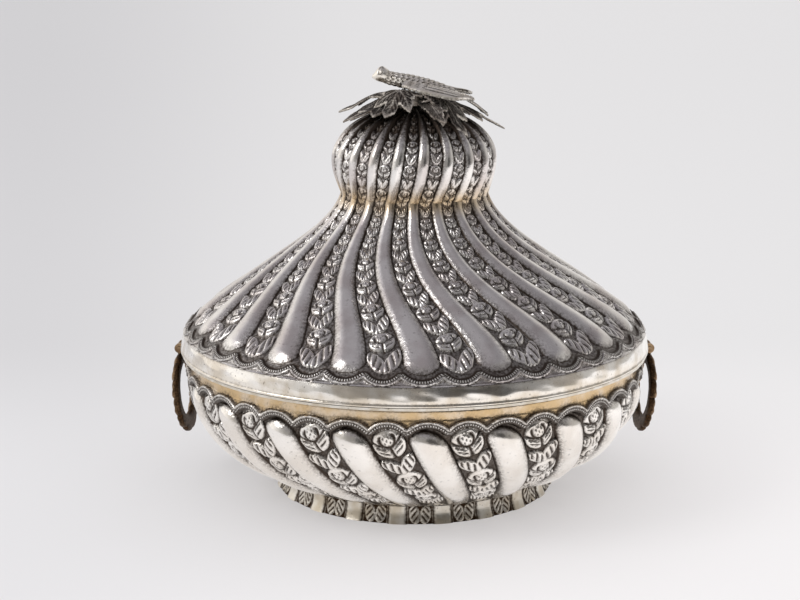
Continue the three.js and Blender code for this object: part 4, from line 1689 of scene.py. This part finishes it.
    def to_box(self, points: np.ndarray) -> np.ndarray:
        """Tilts the bird and seats it on the boss.

        Args:
            points: points in the bird's frame, beak at the origin and tail along +X.

        Returns:
            The points in the box's frame.
        """
        slope = math.radians(self.slope_deg)
        seat = self.forward + self.boss_radius + self.gap
        lift = self.half_height * math.cos(slope) + seat * math.sin(slope)
        x = points[..., 0] * math.cos(slope) + points[..., 2] * math.sin(slope)
        z = points[..., 2] * math.cos(slope) - points[..., 0] * math.sin(slope)
        moved = np.stack([x - self.forward * math.cos(slope), points[..., 1], z], axis=-1)
        moved[..., 2] += self.boss_top + self.gap + lift
        return moved

    def bird_body(self) -> None:
        """Builds body and tail: oval sections along a line, with rows of pointed feathers."""
        table = np.array(BIRD_SECTIONS)
        s = np.linspace(0.0, 1.0, 200)
        smooth = np.hanning(15) / np.hanning(15).sum()
        wide, high, lift = (
            np.convolve(np.pad(np.interp(s, table[:, 0], c), 7, mode="edge"), smooth, "valid")[:, None]
            for c in table[:, 1:].T
        )
        a = np.linspace(0.0, TURN, 96, endpoint=False)[None]
        along = s[:, None] * self.length
        row = along / self.feather_mm + 0.5 * np.abs(np.sin(a * 5.0))
        scale = np.mod(row, 1.0)
        feathered = smoothstep(s[:, None], 0.12, 0.2) * (1 - smoothstep(s[:, None], 0.94, 1.0))
        plume = (0.6 * scale - 0.15) * feathered
        up = np.sin(a)
        eye_at = np.hypot((along - self.eye_place) / 0.75, (np.abs(up) - 0.45) * 2.6) + 3 * (up < 0)
        eye = 0.5 * bell(eye_at, 0.7)
        ring = 0.3 * bell(eye_at - 1.3, 0.35)
        y = (self.half_width * wide + plume + eye - ring) * np.cos(a)
        z = (self.half_height * high + plume) * np.sin(a) + self.half_height * lift
        oxide_and_shade = np.clip(0.03 + 0.72 * (1 - scale) ** 2 * feathered + 2 * ring - eye, 0.0, 1.0)
        points = self.to_box(np.stack(np.broadcast_arrays(along, y, z), axis=-1))
        piece = Piece("bird_body_cast")
        grid = piece.add_grid(points, Marks(oxide_and_shade), closed=True, flip=True)
        piece.add_fan(grid[0], points[0].mean(axis=0), Marks(0.3), flip=False)
        piece.add_fan(grid[-1], points[-1].mean(axis=0), Marks(0.3), flip=True)
        self.tail(piece)
        settle(piece.build(sharp_deg=40.0), RUBBED_CAST_SILVER, Body.LID, Slot.CAST, "bird_body")

    def tail(self, piece: Piece) -> None:
        """Adds the forked tail: a fan that widens, falls with t^1.5 and is grooved into feathers.

        Args:
            piece: the piece that takes the tail.
        """
        t = np.linspace(0.0, 1.0, 50)[:, None]
        v = np.linspace(-1.0, 1.0, 57)[None]
        root = self.length * self.tail_root
        half = self.tail_half + self.tail_spread * t
        lanes = self.tail_feathers / 2.0
        tip = 0.9 * np.abs(np.sin(lanes * math.pi * v)) * smoothstep(t, 0.7, 1.0)
        x = root + (self.tail_length + 0.6) * t - self.tail_fork * t**2 * (1 - np.abs(v)) - tip
        y = v * half
        groove = np.abs(np.cos(lanes * math.pi * v)) ** 0.6
        barbs = 0.5 + 0.5 * np.cos(TURN * (x - 1.4 * np.abs(np.mod(lanes * v, 1.0) - 0.5)) / 1.5)
        z = self.half_height * 0.34 - self.tail_fall * t**1.5 - 0.2 * y**2 / 5.0
        z = z - 0.35 * groove + 0.1 * barbs
        oxide_and_shade = np.clip(0.25 + 0.7 * groove**3 - 0.2 * barbs, 0.0, 1.0)
        upper = self.to_box(np.stack(np.broadcast_arrays(x, y, z), axis=-1))
        self.close_plate(piece, upper, Marks(oxide_and_shade))

    def close_plate(self, piece: Piece, upper: np.ndarray, marks: Marks) -> None:
        """Adds an open plate with its four edges.

        Args:
            piece: the piece that takes the plate.
            upper: its upper grid, rows away from the root and columns to the left.
            marks: marks of the upper side.
        """
        top, under = thin_plate(piece, upper, marks, self.plate, flip=True)
        piece.add_quads(top[0], under[0])
        piece.add_quads(under[-1], top[-1])
        piece.add_quads(under[:, 0], top[:, 0])
        piece.add_quads(top[:, -1], under[:, -1])

    def wing(self, name: str, side: int) -> None:
        """Builds one wing laid back along the body: scales at its root, then long feathers.

        Args:
            name: the wing's CAD node.
            side: 1 for the wing at +Y and -1 for the other.
        """
        t = np.linspace(0.0, 1.0, 110)[:, None]
        v = np.linspace(-1.0, 1.0, 61)[None]
        half = self.wing_half * (0.55 + 0.5 * np.sin(math.pi * (0.15 + 0.8 * t)))
        half = half * (1 - 0.5 * smoothstep(t, 0.75, 1.0))
        middle = self.wing_feathers / 2.0
        lanes = v * middle * side + middle
        lane = np.mod(lanes, 1.0)
        ends = 0.12 * np.floor(lanes) / self.wing_feathers
        x = self.wing_length * (t - 0.1 * t * np.abs(v) * (v * side < 0) - ends * t * 0.4)
        y = v * half
        long_feathers = smoothstep(t, 0.3, 0.38)
        quill = bell(lane - 0.5, 0.14)
        scale = np.mod(t * self.wing_scales + 0.5 * np.abs(np.sin(math.pi * lanes * 1.4)), 1.0)
        barbs = 0.5 + 0.5 * np.cos(TURN * (x - 2.0 * np.abs(lane - 0.5)) / 1.3)
        rise = long_feathers * (0.5 * lane + 0.22 * quill + 0.1 * barbs)
        rise = rise + (1 - long_feathers) * 0.5 * scale
        arch = self.wing_arch * np.sin(math.pi * x / self.wing_length)
        z = arch - 0.28 * y**2 / self.wing_half + rise
        z = z - self.wing_droop * (side * y + half)
        dark = long_feathers * (1 - smoothstep(lane, 0.08, 0.36))
        dark = dark + (1 - long_feathers) * (1 - scale) ** 2
        # A pale band along the wing's outer, drooping edge: rubbed, and painted highlight
        rubbed_and_highlit = bell(v * side - 0.9, 0.16)
        oxide_and_shade = np.clip(0.06 + 0.95 * dark - 0.25 * quill - 0.1 * barbs - rubbed_and_highlit, 0.0, 1.0)
        turn = math.radians(self.wing_splay_deg) * side
        px = self.length * self.wing_root + x * math.cos(turn) - y * math.sin(turn)
        py = side * (self.half_width + self.wing_half * 0.71) + x * math.sin(turn) + y * math.cos(turn)
        upper = self.to_box(np.stack([px, py, z + self.wing_seat], axis=-1))
        piece = Piece(f"{name}_cast")
        self.close_plate(piece, upper, Marks(oxide_and_shade))
        settle(piece.build(sharp_deg=40.0), RUBBED_CAST_SILVER, Body.LID, Slot.CAST, name)

    def build(self) -> None:
        """Builds leaves, bird and wings."""
        for number, leaf in enumerate(LEAVES, start=1):
            self.leaf(number, leaf)
        self.bird_body()
        self.wing("bird_wing_left", -1)
        self.wing("bird_wing_right", 1)


@dataclass
class RingHandle:
    """Cast ring handle: a leafy strap, bowed outwards, with a bored knuckle on its pin."""

    name: str
    body: Body
    bearing_deg: float
    axis_radius: float = 123.4
    axis_height: float = 67.5
    lean_deg: float = 5.0
    ring_radius: float = 19.8
    hole_radius: float = 14.0
    thickness: float = 2.4
    back: float = 1.2
    drop: float = 23.0
    foot_rise: float = 3.0
    lobes: int = 12
    knuckle_radius: float = 2.0
    knuckle_width: float = 4.6
    neck_reach: float = 5.7
    pin_hole: float = 1.22
    bow: float = 0.3

    def to_box(self, points: np.ndarray) -> np.ndarray:
        """Leans points with the handle and turns them to its bearing.

        Args:
            points: points in the hinge's frame, x outwards and y along the pin.

        Returns:
            The points in the box's frame.
        """
        lean, bearing = math.radians(self.lean_deg), math.radians(self.bearing_deg)
        x = points[..., 0] * math.cos(lean) + points[..., 2] * math.sin(lean) + self.axis_radius
        z = points[..., 2] * math.cos(lean) - points[..., 0] * math.sin(lean) + self.axis_height
        y = points[..., 1]
        px = x * math.cos(bearing) - y * math.sin(bearing)
        py = x * math.sin(bearing) + y * math.cos(bearing)
        return np.stack([px, py, z], axis=-1)

    def strap(self, piece: Piece) -> None:
        """Adds the ring: a rounded strap section carried round a lobed circle.

        The outer edge is radius - lobes + foot rise, the front swells into leaves that overlap
        towards the foot, and the whole ring bows outwards as 1 - (height / radius)^2.

        Args:
            piece: the piece that takes the ring.
        """
        a = np.linspace(0.0, TURN, 480, endpoint=False)[:, None]
        b = np.linspace(0.0, TURN, 48, endpoint=False)[None]
        foot = 0.5 - 0.5 * np.cos(a)
        leaf = np.mod(self.lobes * a / TURN * np.where(a < math.pi, 1, -1), 1.0)
        outline = self.ring_radius + self.foot_rise * foot**4 - 1.0 * (1 - np.sin(math.pi * leaf)) ** 2
        middle = (outline + self.hole_radius) / 2.0
        half = (outline - self.hole_radius) / 2.0
        across, deep = np.cos(b), np.sin(b)
        round_off = np.sign(across) * np.abs(across) ** 0.6
        radial = middle + half * round_off
        front = np.clip(deep, 0.0, 1.0) ** 0.6
        ridge = 0.8 * leaf + 0.5 * (0.5 + 0.5 * np.cos(TURN * (leaf * 2.0 + 0.9 * np.abs(across))))
        deep_mm = self.thickness + self.back
        x = (0.5 + 0.5 * np.sign(deep) * np.abs(deep) ** 0.6) * deep_mm - self.back
        x = x + front * (0.7 * ridge - 0.4)
        y = radial * np.sin(a)
        z = radial * np.cos(a) - self.drop
        x = x + self.bow * np.clip(1 - ((z + self.drop) / self.ring_radius) ** 2, -0.6, 1.0)
        dark = np.clip(0.75 - front * (0.75 * leaf + 0.1), 0.0, 1.0)
        marks = Marks(dark, tarnish=0.8 * (1 - front))
        grid = piece.add_grid(self.to_box(np.stack([x, y, z], axis=-1)), marks, closed=True)
        piece.add_band(grid[-1], grid[0])

    def knuckle(self, piece: Piece) -> None:
        """Adds the knuckle: a bored round bar with a waisted neck that runs down into the ring.

        Args:
            piece: the piece that takes the knuckle.
        """
        a = np.linspace(0.0, TURN, 72, endpoint=False)[None]
        down = np.clip(-np.sin(a), 0.0, 1.0) ** 6
        radius = self.knuckle_radius + (self.neck_reach - self.knuckle_radius) * down
        y = np.linspace(-0.5, 0.5, 11)[:, None] * self.knuckle_width
        crown = 0.25 * (1 - (y / (self.knuckle_width / 2)) ** 2)
        outer, bore = (
            np.stack(np.broadcast_arrays(r * np.cos(a), y, r * np.sin(a)), axis=-1)
            for r in (radius + crown, self.pin_hole)
        )
        skin = piece.add_grid(self.to_box(outer), Marks(0.5), closed=True, flip=True)
        hole = piece.add_grid(self.to_box(bore), Marks(0.9), closed=True)
        piece.add_band(skin[0], hole[0])
        piece.add_band(hole[-1], skin[-1])

    def build(self) -> None:
        """Builds the handle."""
        piece = Piece(f"{self.name}_cast")
        self.strap(piece)
        self.knuckle(piece)
        settle(piece.build(sharp_deg=45.0), HANDLE_SILVER, self.body, Slot.HANDLE, self.name)


# CAD nodes that keep their solid and take a finish
KEPT_NODES = {
    "bowl_rim_ledge": TARNISHED_SILVER,
    "bowl_bezel": TARNISHED_SILVER,
    "finial_washer": TARNISHED_SILVER,
    "finial_nut": TARNISHED_SILVER,
    "finial_stem": CAST_SILVER,
    "handle_plate_left": HANDLE_SILVER,
    "handle_lug_left": HANDLE_SILVER,
    "hinge_pin_left": HANDLE_SILVER,
    "handle_plate_right": HANDLE_SILVER,
    "handle_lug_right": HANDLE_SILVER,
    "hinge_pin_right": HANDLE_SILVER,
}


@dataclass
class Studio:
    """Pale floor, soft light and the camera."""

    distance: float = 840.0
    elevation_deg: float = 12.9
    target_height: float = 95.4
    focal_px: float = 1630.0
    image_width: float = 800.0
    axis_px: float = 414.46
    sensor: float = 36.0
    floor_drop: float = 0.05

    def camera(self) -> None:
        """Places the camera at the photograph's angle and distance."""
        data = bpy.data.cameras.new("camera")
        made = bpy.data.objects.new("camera", data)
        bpy.context.scene.collection.objects.link(made)
        lift = math.radians(self.elevation_deg)
        back = Vector((0.0, -math.cos(lift), math.sin(lift)))
        target = Vector((0.0, 0.0, self.target_height)) * MM
        made.location = target + back * self.distance * MM
        made.rotation_mode = "QUATERNION"
        made.rotation_quaternion = (-back).to_track_quat("-Z", "Y")
        data.sensor_width = self.sensor
        data.lens = self.focal_px / self.image_width * self.sensor
        data.shift_x = (self.image_width / 2.0 - self.axis_px) / self.image_width
        data.clip_start, data.clip_end = 0.01, 40.0
        bpy.context.scene.camera = made

    def floor(self) -> None:
        """Builds a round floor wide enough to reach past the top of the picture.

        Its paper's colour is painted a little greyer at the left and in a fan behind the object,
        and greyer behind than in front, as painted shade: the fan is x / (y + a stand-off), so its
        edge widens away from the front. In reflections it glows brighter towards the right, as a
        painted reflection of a pale room.
        """
        r = np.array([0.3, 0.6, 1.2, 2.5, 5.0, 9.0])[:, None] / MM
        angle = np.linspace(0.0, TURN, 96, endpoint=False)[None]
        piece = Piece("studio_floor")
        level = np.full_like(r, -self.floor_drop)
        grid = piece.add_grid(turn_profile(r, level, angle), Marks(), closed=True)
        piece.add_fan(grid[0], np.array([0.0, 0.0, -self.floor_drop]), Marks())
        made = piece.build()
        material = bpy.data.materials.new("matt_paper_with_painted_shade")
        add = node_adder(material)
        # Places on the floor are in metres from the object
        split = add(Node.SPLIT, (add(Node.COORDINATES, wanted="Object"),)).node.outputs
        x, y = split["X"], split["Y"]
        # The paper's colour is painted greyer at the left, in a fan that widens behind the object, and
        # greyer behind than in front: painted shade
        fan = add(Node.MATHS, (x, add(Node.MATHS, (y, 0.9), **PLUS)), operation="DIVIDE")
        out_of_painted_fan_shade = add(Node.RANGE, (fan, -0.24, 0.0), **SMOOTH)
        out_of_painted_left_shade = add(Node.RANGE, (x, -0.22, 0.06), **SMOOTH)
        to_front = add(Node.RANGE, (y, 0.32, -0.04), **SMOOTH)
        back = add(Node.MIX, (out_of_painted_fan_shade, linear("#aaa9aa"), linear("#b9b8b8")), **COLOURS)
        front = add(Node.MIX, (out_of_painted_left_shade, linear("#b6b5b6"), linear("#c5c3c3")), **COLOURS)
        colour = add(Node.MIX, (to_front, back, front), **COLOURS)
        # Seen in reflections the floor glows brighter towards the right: a painted reflection
        seen = add(Node.LIGHT_PATH, wanted="Is Glossy Ray")
        painted_reflection_glow = add(Node.MATHS, (seen, add(Node.RANGE, (x, -0.8, 0.5, 0.12, 0.5), **SMOOTH)), **TIMES)
        surface = {
            "Base Color": colour,
            "Roughness": 0.9,
            "Specular IOR Level": 0.1,
            "Emission Color": colour,
            "Emission Strength": add(Node.MATHS, (0.62, painted_reflection_glow), **PLUS),
        }
        add(Node.MATERIAL_OUTPUT, (add(Node.SURFACE, surface),))
        made.data.materials.append(material)

    def lamp(
        self, name: str, place: tuple[float, float, float], size: float, watts: float
    ) -> None:
        """Adds one square soft box that looks at the object's middle.

        Args:
            name: the lamp's name.
            place: its place in metres.
            size: its side in metres.
            watts: its power.
        """
        data = bpy.data.lights.new(name, "AREA")
        data.shape = "SQUARE"
        data.size = size
        data.energy = watts
        made = bpy.data.objects.new(name, data)
        made.location = place
        aim = Vector((0.0, 0.0, self.target_height * MM)) - Vector(place)
        made.rotation_mode = "QUATERNION"
        made.rotation_quaternion = aim.to_track_quat("-Z", "Y")
        bpy.context.scene.collection.objects.link(made)

    def world(self) -> None:
        """Lights the floor evenly, and gives the silver a room to reflect.

        The room is pale behind the object and brightest at the left, darker behind the camera,
        at the right and at the ceiling, with one dark patch at the right of the camera.
        """
        world = bpy.data.worlds.new("soft_room")
        bpy.context.scene.world = world
        add = node_adder(world)
        way = add(Node.COORDINATES, wanted="Generated")
        split = add(Node.SPLIT, (way,)).node.outputs
        x, y, z = (split[axis] for axis in "XYZ")
        to_ceiling = add(Node.RANGE, (z, 0.4, 0.85), **SMOOTH)
        wall = add(Node.RANGE, (y, -0.75, 0.2, 0.34, 0.95), **SMOOTH)
        window = add(Node.RANGE, (x, -0.35, -0.95, 0.0, 0.35), **SMOOTH)
        shade = add(Node.RANGE, (x, 0.15, 0.8, 1.0, 0.66), **SMOOTH)
        wall = add(Node.MATHS, (add(Node.MATHS, (wall, window), **PLUS), shade), **TIMES)
        below = add(Node.MATHS, (1.0, to_ceiling), **MINUS)
        left = add(Node.RANGE, (x, -0.78, -0.42, 1.05, 0.44), **SMOOTH)
        right = add(Node.RANGE, (x, 0.05, 0.55, 1.0, 0.72), **SMOOTH)
        overhead = add(Node.MATHS, (left, right), **TIMES)
        ceiling = add(Node.MATHS, (to_ceiling, overhead), **TIMES)
        room = add(Node.MATHS, (ceiling, add(Node.MATHS, (wall, below), **TIMES)), **PLUS)
        patch_way = Vector((0.42, -0.87, 0.24)).normalized()
        near_patch = add(Node.VECTOR_MATHS, (way, patch_way), "Value", operation="DOT_PRODUCT")
        patch = add(Node.RANGE, (near_patch, 0.9, 0.975, 1.0, 0.22), **SMOOTH)
        room = add(Node.MATHS, (room, patch), **TIMES)
        seen = add(Node.LIGHT_PATH, wanted="Is Glossy Ray")
        tint = add(Node.MIX, (to_ceiling, linear("#f6f3f0"), linear("#e6e2ea")), **COLOURS)
        glossy = add(Node.BACKGROUND, {"Color": tint, "Strength": room})
        plain = add(Node.BACKGROUND, {"Color": linear("#fbfbfd"), "Strength": 1.0})
        add(Node.WORLD_OUTPUT, (add(Node.MIX_SHADER, (seen, plain, glossy)),))

    def build(self) -> None:
        """Sets up camera, floor, light and view."""
        self.camera()
        self.floor()
        self.world()
        self.lamp("soft_box_left", place=(-1.2, -0.55, 1.15), size=0.7, watts=6.0)
        bpy.context.scene.view_settings.view_transform = "Standard"


def main() -> None:
    """Builds stage, bowl, lid, finial and handles in order."""
    logging.basicConfig(level=logging.INFO, format="%(message)s")
    Studio().build()
    Bowl().build()
    Lid().build()
    Finial().build()
    RingHandle("drop_handle_right", Body.HANDLE_RIGHT, bearing_deg=6.0).build()
    RingHandle("drop_handle_left", Body.HANDLE_LEFT, bearing_deg=174.0).build()
    for name, finish in KEPT_NODES.items():
        FINISHES.dress(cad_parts[name], finish)
        log.info("%s keeps its solid, in %s", name, finish.name)


if __name__ == "__main__":
    main()
